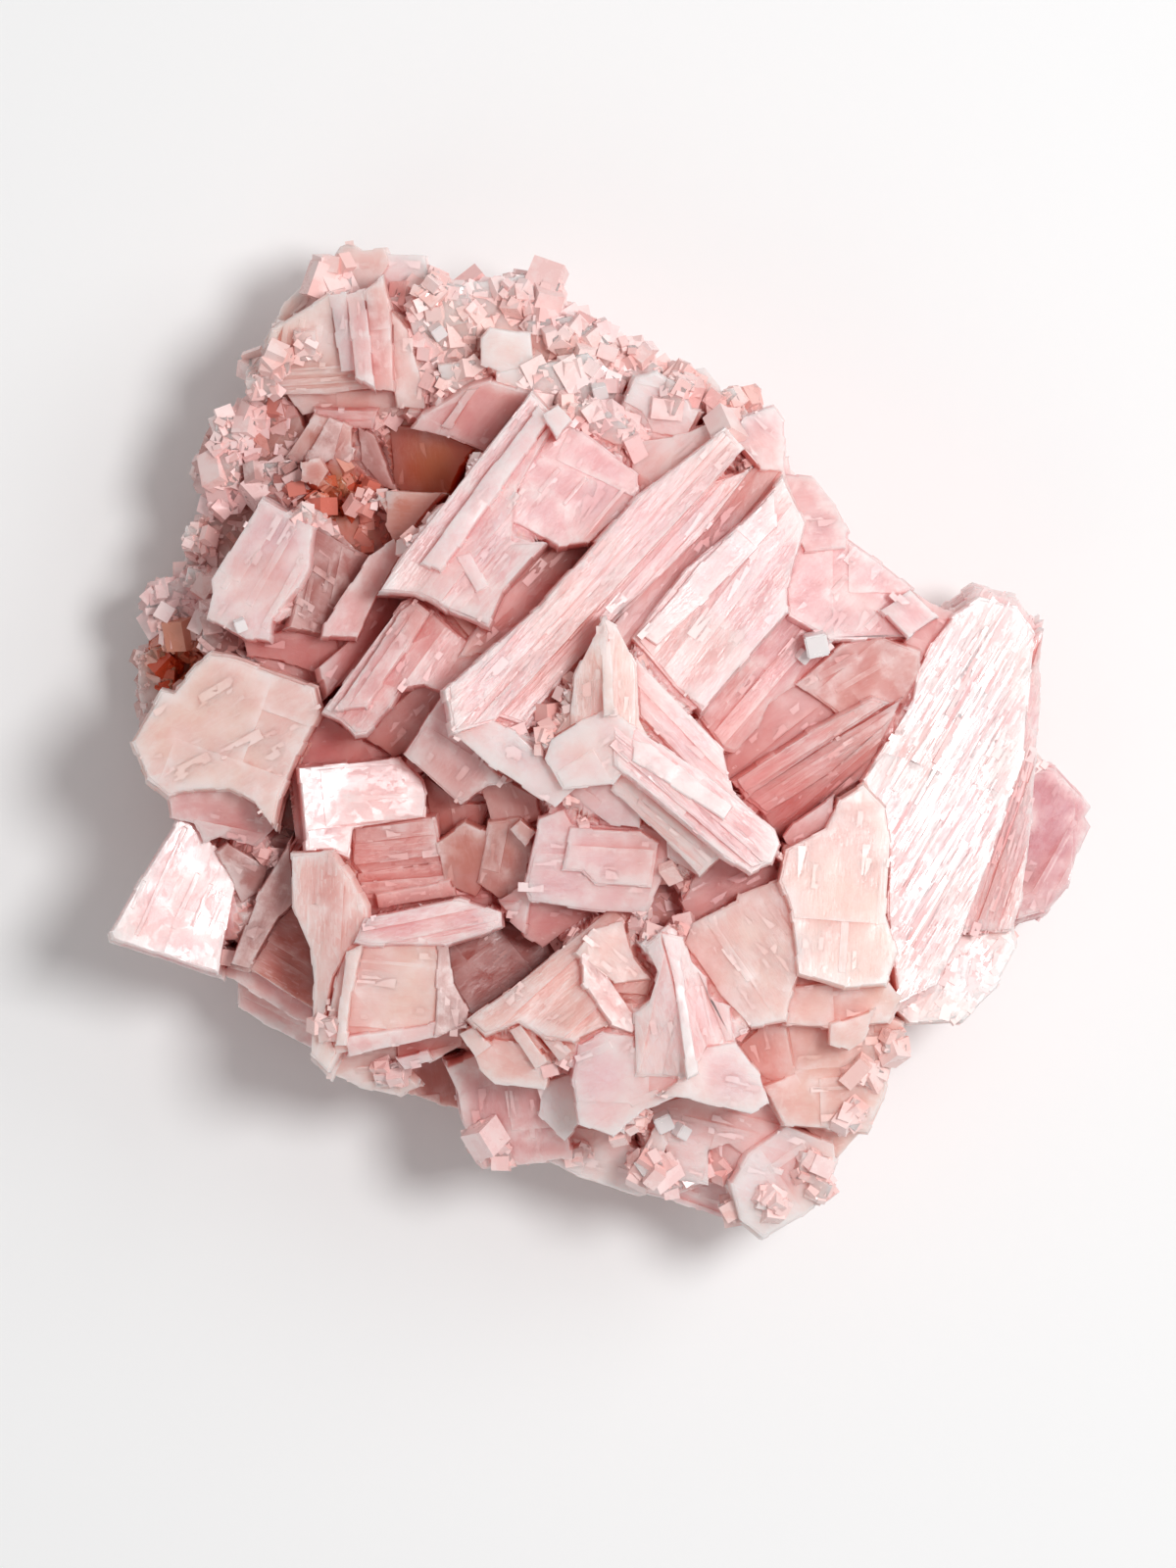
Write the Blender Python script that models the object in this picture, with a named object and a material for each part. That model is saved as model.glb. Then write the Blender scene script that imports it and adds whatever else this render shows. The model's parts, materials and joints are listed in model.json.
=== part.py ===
"""A pink halite cluster: bars, blocks, plates and skeletal corners of rock salt grown through one another.

The cluster lies on the flat underside where it was cut from its bed. The tables are in millimetres on
a plan grid whose x runs right and whose y runs towards the front, from the far left corner. The model
is in metres, with X to the right, Y to the back and Z up from the underside.
"""

import math
import random
from collections import namedtuple
from itertools import product

import bmesh
import bpy
from mathutils import Matrix, Vector, geometry, noise
from mathutils.bvhtree import BVHTree

MM = 0.001
NAME = "halite_cluster"
SEED = 7
PLAN_MIDDLE = (61.7, 75.4)  # the grid point over the origin
FOOT = 12.0  # the level that a crystal reaches down to
LEAST_DEPTH = 7.0  # how far even a low crystal reaches down from its upper face
RIM_BAND = 3.0  # a crystal this near the rim is a block, as deep as it is wide
FLARE = 1.1  # how much wider it is at its foot
SWAY = 0.1  # how much of its lean its side faces follow

# A crystal is a prism. height is that of the middle of its upper face above the underside, lean the
# way that face tips and by how many degrees, and corners its outline in plan.
Crystal = namedtuple("Crystal", "name height lean corners")

LONG_BARS = (
    Crystal("long_bar", 39.0, (20, 11), (
        (74.0, 43.7), (76.0, 46.0), (61.0, 62.5), (50.5, 73.8), (46.3, 75.0), (45.5, 70.5), (55.0, 62.0),
        (65.0, 50.8))),
    Crystal("long_bar_ledge", 37.8, (20, 11), (
        (76.8, 47.8), (72.0, 54.5), (62.5, 63.5), (59.8, 66.8), (53.5, 74.2), (50.0, 73.0), (60.0, 61.5),
        (70.5, 50.0))),
    Crystal("long_bar_end", 36.6, (230, 20), (
        (45.7, 70.3), (46.9, 75.0), (50.4, 78.5), (52.0, 80.0), (50.0, 80.2), (47.0, 82.2), (41.2, 77.0))),
    Crystal("long_bar_lip", 41.0, (255, 9), (
        (46.3, 75.0), (50.5, 73.5), (52.7, 74.7), (55.5, 77.3), (57.8, 79.0), (59.0, 80.4), (56.6, 82.5),
        (54.6, 81.2), (50.0, 78.2))),
    Crystal("broad_bar", 37.4, (35, 9), (
        (79.8, 48.8), (82.0, 53.5), (80.3, 60.0), (80.3, 62.6), (76.0, 67.5), (71.5, 72.8), (68.5, 70.0),
        (64.4, 65.2), (70.0, 58.0), (75.5, 53.5))),
    Crystal("broad_bar_step", 38.4, (35, 9), (
        (79.0, 50.2), (79.2, 54.0), (71.5, 62.0), (67.0, 66.0), (65.2, 64.8), (71.5, 57.5))),
    Crystal("groove_floor", 34.6, (60, 16), (
        (80.0, 47.0), (80.5, 50.0), (70.0, 60.0), (63.5, 66.5), (61.5, 65.0), (75.0, 48.0))),
    Crystal("bar_knob", 32.0, (40, 16), (
        (76.0, 42.5), (79.0, 41.4), (80.0, 43.0), (80.1, 46.0), (79.8, 48.3), (77.5, 48.0), (74.5, 44.5))),
)

LEFT_BARS = (
    Crystal("left_bar", 37.2, (110, 10), (
        (54.3, 40.0), (57.0, 43.0), (53.0, 50.0), (52.2, 55.5), (55.8, 55.5), (51.5, 60.5), (50.0, 64.2),
        (46.0, 62.5), (42.5, 60.8), (38.8, 60.5), (41.0, 57.0))),
    Crystal("left_bar_ridge", 38.0, (110, 10), (
        (55.0, 41.5), (56.2, 43.0), (47.0, 56.0), (45.0, 58.5), (43.0, 57.6))),
    Crystal("left_bar_face", 35.4, (50, 12), (
        (56.5, 42.5), (60.0, 44.5), (65.2, 48.5), (65.2, 51.0), (60.0, 55.6), (57.0, 56.0), (51.6, 53.0))),
    Crystal("left_bar_floor", 32.0, (50, 24), (
        (57.0, 55.0), (60.5, 55.5), (57.0, 60.0), (50.0, 67.0), (47.0, 67.0), (51.0, 59.5))),
    Crystal("left_bar_inset", 38.2, (110, 8), ((46.6, 57.0), (48.2, 56.6), (50.0, 60.0), (48.6, 60.6))),
    Crystal("clear_tip", 38.0, (80, 12), ((55.4, 42.6), (57.0, 41.6), (58.4, 43.2), (56.8, 45.0))),
    Crystal("step_bar", 35.2, (115, 9), (
        (42.5, 60.8), (45.3, 63.3), (50.0, 67.4), (46.5, 71.2), (43.5, 70.0), (41.0, 70.4), (40.0, 72.3),
        (37.5, 75.0), (36.3, 75.1), (35.0, 73.7), (32.9, 72.7), (41.0, 61.5))),
    Crystal("step_bar_ridge", 36.0, (115, 9), (
        (42.4, 61.3), (44.0, 62.6), (41.5, 66.6), (37.5, 72.3), (34.2, 72.6), (41.0, 62.4))),
    Crystal("step_floor", 31.0, (240, 24), (
        (43.0, 69.5), (47.0, 70.5), (41.8, 76.6), (40.0, 77.4), (37.3, 75.4), (40.0, 72.0))),
    Crystal("peach_strip", 33.6, (70, 20), ((45.3, 62.0), (50.4, 63.5), (54.5, 61.0), (50.0, 67.6))),
    Crystal("low_bar", 31.0, (60, 12), (
        (37.7, 56.6), (40.2, 54.9), (41.0, 56.5), (38.7, 60.5), (36.5, 65.2), (32.9, 65.0), (33.2, 63.5))),
    Crystal("low_bar_side", 29.0, (40, 24), (
        (38.5, 60.0), (41.3, 61.0), (36.0, 68.8), (33.3, 71.2), (32.6, 68.0), (36.0, 65.0))),
    Crystal("left_cube", 30.6, (150, 14), (
        (26.7, 50.7), (32.0, 53.8), (31.5, 58.0), (30.5, 60.0), (28.0, 63.0), (27.5, 65.5), (25.0, 65.2),
        (21.0, 63.0), (21.7, 60.5), (21.5, 59.0))),
    Crystal("left_cube_side", 28.8, (20, 28), (
        (31.8, 53.7), (37.7, 56.6), (35.0, 61.5), (33.0, 64.8), (29.5, 64.0), (30.5, 60.0))),
    Crystal("left_rubble", 27.6, (265, 18), (
        (24.5, 64.5), (28.0, 64.6), (31.0, 63.6), (34.2, 65.2), (34.6, 67.5), (32.5, 68.9), (29.0, 67.6),
        (25.0, 67.0))),
    Crystal("left_rubble_low", 25.4, (285, 16), (
        (24.0, 66.5), (32.5, 68.0), (36.0, 68.0), (34.5, 71.0), (32.8, 73.0), (31.5, 70.4))),
)

PALE_BLOCKS = (
    Crystal("cream_block", 32.6, (160, 8), (
        (21.5, 66.8), (24.0, 67.2), (32.2, 70.2), (32.8, 72.7), (30.5, 77.0), (28.8, 81.0), (28.0, 84.5),
        (26.2, 82.0), (23.5, 80.5), (19.0, 80.7), (17.2, 81.3), (15.0, 79.5), (13.5, 75.7), (16.5, 70.5),
        (17.7, 70.8), (20.0, 68.0))),
    Crystal("cream_foot", 28.6, (270, 16), (
        (17.0, 80.2), (19.0, 79.5), (26.5, 81.0), (28.2, 84.5), (26.0, 86.6), (22.5, 85.5), (20.5, 86.2),
        (19.8, 84.2), (17.4, 83.5))),
    Crystal("bright_cube", 32.4, (20, 10), (
        (30.6, 78.3), (41.0, 77.2), (43.3, 79.5), (43.7, 81.0), (43.5, 83.5), (36.2, 84.5), (35.8, 87.6),
        (34.0, 86.8), (31.3, 86.8))),
    Crystal("bright_cube_side", 29.4, (200, 26), (
        (29.6, 78.3), (31.2, 78.0), (32.0, 87.0), (30.0, 85.8))),
    Crystal("notch_floor", 27.6, (250, 14), (
        (32.7, 72.4), (36.0, 75.0), (40.5, 77.3), (41.0, 78.0), (29.8, 79.0), (30.8, 76.0))),
    Crystal("slab_upper", 30.8, (262, 15), (
        (36.0, 84.4), (44.6, 83.4), (45.2, 88.0), (37.0, 89.6), (35.8, 88.0))),
    Crystal("slab_lower", 29.8, (266, 18), (
        (36.5, 89.2), (45.0, 87.8), (50.2, 91.0), (50.2, 92.6), (38.3, 93.6), (36.4, 91.5))),
    Crystal("slab_edge", 31.0, (266, 14), ((38.3, 91.3), (46.0, 89.8), (46.6, 91.4), (38.6, 92.8))),
    Crystal("west_cube", 27.6, (15, 10), (
        (18.3, 83.2), (20.5, 84.5), (22.2, 86.8), (24.0, 90.5), (23.3, 93.5), (22.2, 99.5), (11.5, 95.8),
        (11.3, 95.0), (14.5, 89.5))),
    Crystal("shade_ledge", 27.0, (320, 14), (
        (22.0, 87.0), (23.2, 86.0), (27.3, 88.4), (26.5, 91.0), (24.5, 92.2), (23.8, 90.5))),
    Crystal("shade_band", 28.2, (250, 14), (
        (29.6, 85.8), (30.2, 92.0), (28.5, 93.5), (25.3, 99.0), (23.4, 98.5), (26.3, 91.0))),
    Crystal("shade_face", 23.6, (300, 20), (
        (29.7, 92.3), (30.5, 94.0), (32.0, 97.0), (32.2, 100.5), (31.9, 103.5), (25.0, 99.0), (28.0, 94.0))),
    Crystal("shade_foot", 20.0, (258, 22), (
        (23.3, 97.0), (25.5, 97.6), (32.0, 102.0), (32.0, 105.4), (29.0, 104.0), (25.0, 101.4),
        (22.3, 99.6))),
    Crystal("shade_base", 14.5, (250, 30), (
        (23.7, 99.8), (26.0, 100.6), (29.0, 103.4), (32.0, 105.0), (31.6, 107.8), (26.2, 105.0),
        (23.6, 103.2))),
)

FRAMED = (
    Crystal("frame_arm", 33.4, (205, 15), (
        (29.7, 87.0), (34.0, 86.8), (36.0, 89.5), (37.5, 92.5), (37.6, 94.5), (35.6, 97.0), (34.2, 99.5),
        (33.2, 104.0), (34.5, 107.5), (33.5, 109.5), (31.6, 107.5), (32.0, 100.5), (31.7, 97.0),
        (29.8, 92.5))),
    Crystal("frame_cube", 33.6, (225, 8), (
        (36.0, 94.8), (44.8, 95.5), (45.2, 104.0), (44.5, 105.4), (36.5, 107.0), (34.3, 107.5),
        (33.3, 104.0), (34.3, 99.5))),
    Crystal("frame_top", 35.4, (85, 8), (
        (37.3, 93.5), (47.0, 91.5), (51.2, 93.0), (51.3, 94.5), (49.0, 95.4), (45.5, 96.4), (37.8, 96.4),
        (36.2, 96.0))),
    Crystal("frame_right", 34.8, (350, 10), (
        (44.7, 96.0), (45.9, 96.4), (46.4, 100.0), (48.0, 103.0), (47.7, 104.9), (44.4, 105.6))),
    Crystal("frame_left", 34.6, (200, 10), (
        (35.4, 97.0), (37.2, 96.2), (36.0, 101.0), (35.4, 106.6), (34.2, 106.6))),
    Crystal("frame_bottom", 34.2, (265, 16), (
        (35.4, 105.8), (44.6, 104.2), (47.7, 104.4), (44.5, 105.8), (35.6, 107.8))),
    Crystal("frame_skirt", 25.0, (262, 32), (
        (33.4, 109.6), (34.6, 107.0), (41.0, 106.0), (41.2, 109.5), (42.6, 111.2), (40.5, 112.2),
        (36.5, 111.3))),
    Crystal("pocket_back", 27.6, (265, 20), (
        (40.5, 106.4), (47.4, 104.6), (47.0, 107.0), (43.8, 108.6), (40.6, 108.4))),
    Crystal("pocket_floor", 15.5, (270, 26), (
        (40.5, 108.0), (46.5, 107.0), (47.2, 114.1), (44.5, 113.4), (41.0, 112.1))),
    Crystal("spark", 29.0, (255, 10), ((40.3, 108.0), (43.6, 107.2), (44.1, 108.3), (41.3, 109.3))),
    Crystal("recess_floor", 28.4, (60, 12), (
        (45.3, 96.0), (51.4, 94.0), (54.0, 95.0), (57.6, 97.0), (52.0, 101.4), (48.5, 104.0),
        (45.8, 102.4))),
)

MIDDLE = (
    Crystal("centre_cube", 37.0, (265, 9), (
        (55.0, 83.5), (57.5, 82.5), (58.3, 84.0), (66.0, 84.3), (68.3, 85.3), (68.0, 89.0), (66.0, 93.2),
        (60.5, 93.0), (54.0, 92.0), (53.5, 90.5))),
    Crystal("centre_step", 37.8, (265, 9), (
        (58.2, 84.4), (65.4, 84.8), (67.2, 86.0), (66.4, 90.6), (60.6, 90.3), (59.4, 88.9), (57.2, 88.8))),
    Crystal("wedge", 32.6, (300, 24), (
        (51.2, 92.2), (54.0, 91.6), (60.8, 92.8), (55.3, 96.8), (53.5, 95.6))),
    Crystal("wedge_west", 33.4, (200, 20), (
        (50.8, 91.8), (53.3, 90.3), (54.2, 92.0), (53.6, 95.4), (52.0, 94.0))),
    Crystal("rubble_west", 31.6, (250, 16), (
        (44.5, 86.0), (47.5, 83.8), (50.0, 85.0), (50.5, 88.5), (48.5, 91.6), (45.3, 90.2))),
    Crystal("rubble_east", 32.6, (230, 16), (
        (49.8, 83.8), (53.0, 83.4), (54.8, 84.6), (54.0, 88.0), (53.8, 91.0), (51.5, 92.2), (48.6, 90.0))),
    Crystal("rubble_north", 33.2, (215, 20), (
        (49.0, 80.0), (52.2, 79.8), (54.8, 81.4), (55.2, 83.6), (52.8, 84.6), (50.0, 83.6))),
    Crystal("rubble_dark", 29.2, (240, 18), (
        (43.2, 79.0), (47.0, 81.8), (50.0, 82.0), (49.0, 85.0), (44.0, 85.4))),
    Crystal("rubble_cube", 35.6, (240, 14), ((52.0, 84.6), (53.2, 83.6), (54.8, 85.0), (53.6, 86.4))),
    Crystal("comb_prism", 35.8, (100, 9), (
        (62.6, 92.2), (64.0, 93.5), (64.0, 96.0), (66.8, 99.8), (66.0, 101.5), (63.2, 101.2),
        (64.8, 104.8), (62.0, 104.6), (58.5, 106.2), (55.5, 105.8), (53.0, 104.2), (49.5, 105.5),
        (47.6, 103.8), (49.0, 102.8), (52.0, 100.8), (57.0, 96.8))),
    Crystal("comb_head", 36.6, (60, 12), (
        (60.4, 94.6), (63.6, 93.8), (64.6, 97.4), (66.4, 99.8), (62.6, 100.2), (58.6, 97.0))),
    Crystal("comb_ridge", 37.2, (40, 12), (
        (59.3, 97.2), (60.6, 97.3), (65.2, 104.2), (64.5, 105.2), (62.3, 104.4), (59.4, 100.2))),
    Crystal("comb_block", 33.6, (235, 14), (
        (48.4, 107.5), (50.5, 105.8), (55.2, 106.5), (56.4, 108.5), (55.6, 111.2), (50.5, 110.6),
        (49.0, 109.2))),
    Crystal("comb_tooth_1", 34.6, (235, 14), (
        (46.9, 105.4), (48.6, 104.6), (50.2, 106.6), (48.5, 107.8))),
    Crystal("comb_tooth_2", 35.2, (235, 14), (
        (52.0, 105.0), (53.3, 104.4), (56.0, 108.2), (54.6, 109.0))),
    Crystal("comb_tooth_3", 35.6, (235, 14), (
        (54.2, 104.6), (55.6, 104.0), (58.4, 107.2), (57.0, 108.2))),
)

# The two skeletal corners: arms that fall from an apex, each arm a pair of faces.
CORNERS = (
    Crystal("upper_arm_west", 43.2, (205, 14), (
        (61.5, 63.2), (62.0, 65.0), (62.1, 72.8), (59.5, 73.7), (56.0, 75.6), (58.0, 73.0), (58.5, 69.0))),
    Crystal("upper_arm_east", 43.0, (0, 13), (
        (61.5, 63.2), (63.0, 64.0), (65.0, 68.0), (65.2, 73.4), (66.6, 76.5), (62.0, 72.7), (61.9, 65.0))),
    Crystal("upper_rib", 44.6, (90, 8), ((61.2, 66.0), (62.3, 65.6), (62.7, 73.0), (61.5, 73.2))),
    Crystal("upper_body", 43.2, (240, 11), (
        (62.1, 72.4), (64.8, 74.5), (64.2, 78.0), (62.5, 80.2), (59.0, 80.5), (57.4, 80.6), (55.6, 77.5),
        (56.3, 75.5), (59.5, 73.5))),
    Crystal("long_arm", 43.2, (40, 8), (
        (62.3, 72.6), (66.0, 75.0), (72.0, 79.0), (78.8, 84.5), (79.3, 86.0), (78.5, 88.0), (76.3, 89.0),
        (73.5, 87.3), (65.0, 80.0), (62.6, 78.2))),
    Crystal("long_arm_ridge", 44.2, (60, 9), (
        (64.5, 75.4), (66.4, 76.0), (74.6, 82.2), (73.6, 83.6), (64.4, 77.6))),
    Crystal("long_arm_side", 40.6, (232, 17), (
        (62.8, 78.0), (65.0, 79.6), (73.8, 87.0), (71.2, 89.4), (68.0, 86.0), (65.0, 83.2), (62.2, 80.6))),
    Crystal("long_arm_rim", 40.4, (40, 14), (
        (64.3, 66.4), (66.0, 68.4), (73.8, 76.5), (74.6, 80.5), (77.0, 83.0), (75.5, 83.4), (70.0, 78.2),
        (65.0, 73.0), (64.6, 68.0))),
    Crystal("body_foot", 39.0, (250, 16), (
        (57.4, 80.2), (62.5, 79.6), (65.4, 82.5), (65.2, 84.6), (62.2, 84.2), (58.2, 81.2))),
    Crystal("arm_foot", 38.4, (265, 16), (
        (66.6, 83.6), (70.0, 85.0), (73.6, 87.0), (71.2, 89.5), (68.0, 87.6), (68.0, 85.4))),
    Crystal("lower_arm_west", 38.2, (190, 12), (
        (67.4, 94.9), (68.4, 98.5), (69.9, 105.0), (70.4, 109.9), (64.7, 109.7), (64.5, 103.2),
        (66.0, 102.0), (67.0, 99.0), (65.5, 96.2))),
    Crystal("lower_arm_east", 38.0, (355, 13), (
        (67.2, 94.8), (69.7, 95.5), (70.5, 98.0), (72.0, 99.5), (72.2, 101.5), (74.5, 102.5),
        (75.0, 106.4), (72.2, 106.7), (71.0, 109.0), (70.2, 109.9), (69.7, 105.0), (68.2, 98.5))),
    Crystal("lower_rib", 39.4, (90, 7), ((68.4, 98.0), (69.4, 97.8), (71.2, 109.2), (70.0, 109.8))),
    Crystal("lower_arm_foot", 37.4, (300, 10), (
        (70.3, 109.0), (72.0, 106.6), (75.0, 106.2), (77.5, 109.5), (78.4, 112.5), (76.5, 113.5),
        (72.0, 112.5), (70.5, 112.0), (67.0, 111.6))),
    Crystal("lower_wing", 34.6, (228, 17), (
        (64.7, 105.6), (65.4, 109.4), (70.6, 109.4), (69.4, 111.6), (66.0, 113.0), (62.5, 115.9),
        (59.0, 114.6), (58.3, 110.0), (59.0, 106.4), (61.5, 105.0))),
)

RIGHT_PLATES = (
    Crystal("plate_left", 36.4, (120, 8), (
        (69.7, 96.0), (70.5, 94.0), (75.0, 91.8), (75.2, 91.0), (79.5, 89.5), (81.3, 92.0), (81.6, 98.5),
        (80.6, 101.5), (80.0, 104.0), (76.5, 104.6), (73.5, 101.5))),
    Crystal("plate_right", 36.8, (60, 9), (
        (79.3, 89.8), (80.0, 86.5), (84.0, 84.5), (85.5, 81.5), (88.0, 80.0), (90.2, 82.5), (90.7, 86.0),
        (90.2, 93.0), (91.4, 97.0), (90.2, 100.3), (86.0, 100.6), (81.3, 99.2), (80.5, 93.0))),
    Crystal("arm_wedge", 33.0, (290, 20), (
        (71.0, 89.2), (73.8, 87.0), (76.5, 89.0), (79.0, 88.2), (79.8, 89.6), (75.2, 91.6), (70.5, 94.2),
        (69.4, 92.0))),
    Crystal("peach_shelf", 33.4, (310, 12), (
        (80.2, 100.5), (86.0, 100.0), (90.6, 100.0), (92.0, 102.0), (90.5, 104.4), (84.0, 104.8),
        (80.0, 104.6))),
    Crystal("peach_cube", 33.6, (300, 12), (
        (84.6, 104.4), (89.3, 102.9), (88.2, 106.0), (86.5, 107.2), (84.6, 106.6))),
    Crystal("peach_west", 30.0, (250, 20), (
        (75.2, 106.8), (78.5, 104.0), (80.2, 104.4), (81.2, 109.7), (79.0, 110.4), (77.6, 109.8))),
    Crystal("peach_block", 28.4, (320, 16), (
        (80.0, 104.2), (90.0, 103.6), (92.4, 104.6), (91.2, 108.5), (90.2, 112.5), (88.7, 115.8),
        (84.5, 115.4), (80.0, 115.0), (77.9, 110.8), (81.0, 109.6))),
    Crystal("peach_foot", 24.0, (320, 24), (
        (84.0, 109.0), (90.6, 106.5), (92.5, 105.0), (90.6, 109.5), (90.0, 112.0), (88.0, 116.0),
        (85.6, 118.6), (82.0, 115.0))),
    Crystal("corner_cube", 24.4, (300, 16), (
        (76.3, 118.0), (80.5, 115.0), (85.3, 117.0), (85.5, 119.2), (84.5, 122.5), (82.0, 124.5),
        (78.0, 126.8), (75.6, 124.8), (74.6, 121.0))),
    Crystal("corner_side", 23.2, (215, 24), (
        (72.4, 117.0), (74.6, 116.2), (77.0, 118.0), (76.2, 125.2), (73.9, 121.0))),
    Crystal("great_plate", 30.6, (15, 10), (
        (97.5, 62.5), (100.0, 60.8), (104.0, 61.8), (105.8, 64.6), (105.2, 70.0), (104.6, 77.5),
        (101.0, 88.0), (98.0, 95.5), (95.5, 100.5), (91.6, 102.4), (91.0, 98.0), (90.4, 93.0),
        (90.6, 86.5), (88.0, 79.5), (93.0, 71.5), (93.7, 68.0), (95.0, 65.5))),
    Crystal("great_step", 26.4, (350, 20), (
        (106.8, 64.0), (106.3, 68.0), (106.5, 70.0), (106.0, 77.5), (105.6, 84.0), (104.6, 92.0),
        (103.5, 95.2), (97.6, 95.4), (100.0, 88.0), (103.6, 76.0), (104.2, 66.0))),
    Crystal("great_foot", 25.6, (330, 15), (
        (91.6, 99.0), (96.0, 95.4), (103.6, 95.0), (103.9, 97.0), (101.8, 101.0), (98.5, 104.3),
        (93.0, 104.5), (91.4, 103.0))),
    Crystal("mauve_block", 17.6, (0, 20), (
        (105.2, 77.8), (108.5, 78.5), (111.0, 81.2), (112.1, 82.5), (111.3, 83.5), (112.0, 84.5),
        (110.8, 87.0), (109.8, 90.5), (107.5, 93.2), (104.2, 94.0), (104.8, 86.0))),
)

RECESS = (
    Crystal("shoulder_knob", 32.0, (60, 18), (
        (80.0, 48.4), (83.0, 48.7), (85.2, 51.5), (86.5, 54.0), (86.2, 56.0), (82.0, 56.4), (80.5, 53.6),
        (78.9, 51.0))),
    Crystal("shoulder", 32.4, (40, 13), (
        (80.6, 55.0), (86.4, 55.0), (90.0, 57.5), (93.0, 60.0), (91.5, 61.5), (89.8, 62.2), (92.5, 65.0),
        (87.0, 65.4), (84.5, 65.3), (80.3, 62.9), (80.0, 59.0))),
    Crystal("shoulder_quad", 33.6, (60, 11), ((92.8, 60.2), (95.7, 63.0), (92.5, 65.2), (89.6, 62.2))),
    Crystal("shoulder_end", 29.4, (30, 20), (
        (92.6, 59.8), (96.5, 62.2), (98.0, 62.6), (95.2, 65.8), (93.6, 68.0), (92.0, 65.0), (95.0, 62.9))),
    Crystal("inner_face", 31.6, (330, 18), (
        (80.2, 62.2), (84.6, 65.0), (85.8, 66.4), (81.0, 70.2), (78.6, 71.8), (77.4, 74.4), (75.0, 77.0),
        (73.6, 76.6), (71.2, 73.0), (75.6, 67.6))),
    Crystal("inner_block", 31.0, (290, 14), (
        (81.0, 69.8), (86.0, 65.6), (90.0, 65.0), (94.0, 66.5), (93.9, 68.6), (92.2, 71.9), (86.0, 73.4),
        (85.0, 72.6))),
    Crystal("inner_floor", 29.8, (300, 8), (
        (77.5, 72.0), (81.0, 69.4), (86.0, 72.6), (80.0, 77.4), (75.4, 81.0), (73.9, 80.0), (73.9, 77.0))),
    Crystal("rail_upper", 31.8, (300, 10), (
        (74.6, 79.7), (83.0, 74.3), (89.0, 71.2), (90.7, 71.8), (84.0, 76.2), (76.0, 81.7))),
    Crystal("rail_middle", 30.8, (300, 10), (
        (75.8, 81.3), (84.0, 76.0), (92.2, 71.2), (91.0, 73.7), (84.5, 79.2), (78.0, 83.3))),
    Crystal("rail_lower", 29.6, (290, 20), (
        (77.6, 83.0), (84.5, 78.8), (91.0, 73.3), (88.6, 79.2), (84.8, 81.7), (81.5, 83.9), (79.7, 86.0),
        (78.4, 84.6))),
    Crystal("rail_wedge", 34.2, (250, 11), (
        (80.9, 84.0), (85.0, 81.2), (84.9, 84.0), (80.5, 86.6), (79.8, 85.4))),
    Crystal("clear_nub", 33.2, (80, 10), (
        (82.1, 65.6), (83.6, 64.4), (85.0, 65.4), (83.8, 66.9), (82.6, 66.6))),
)

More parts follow.
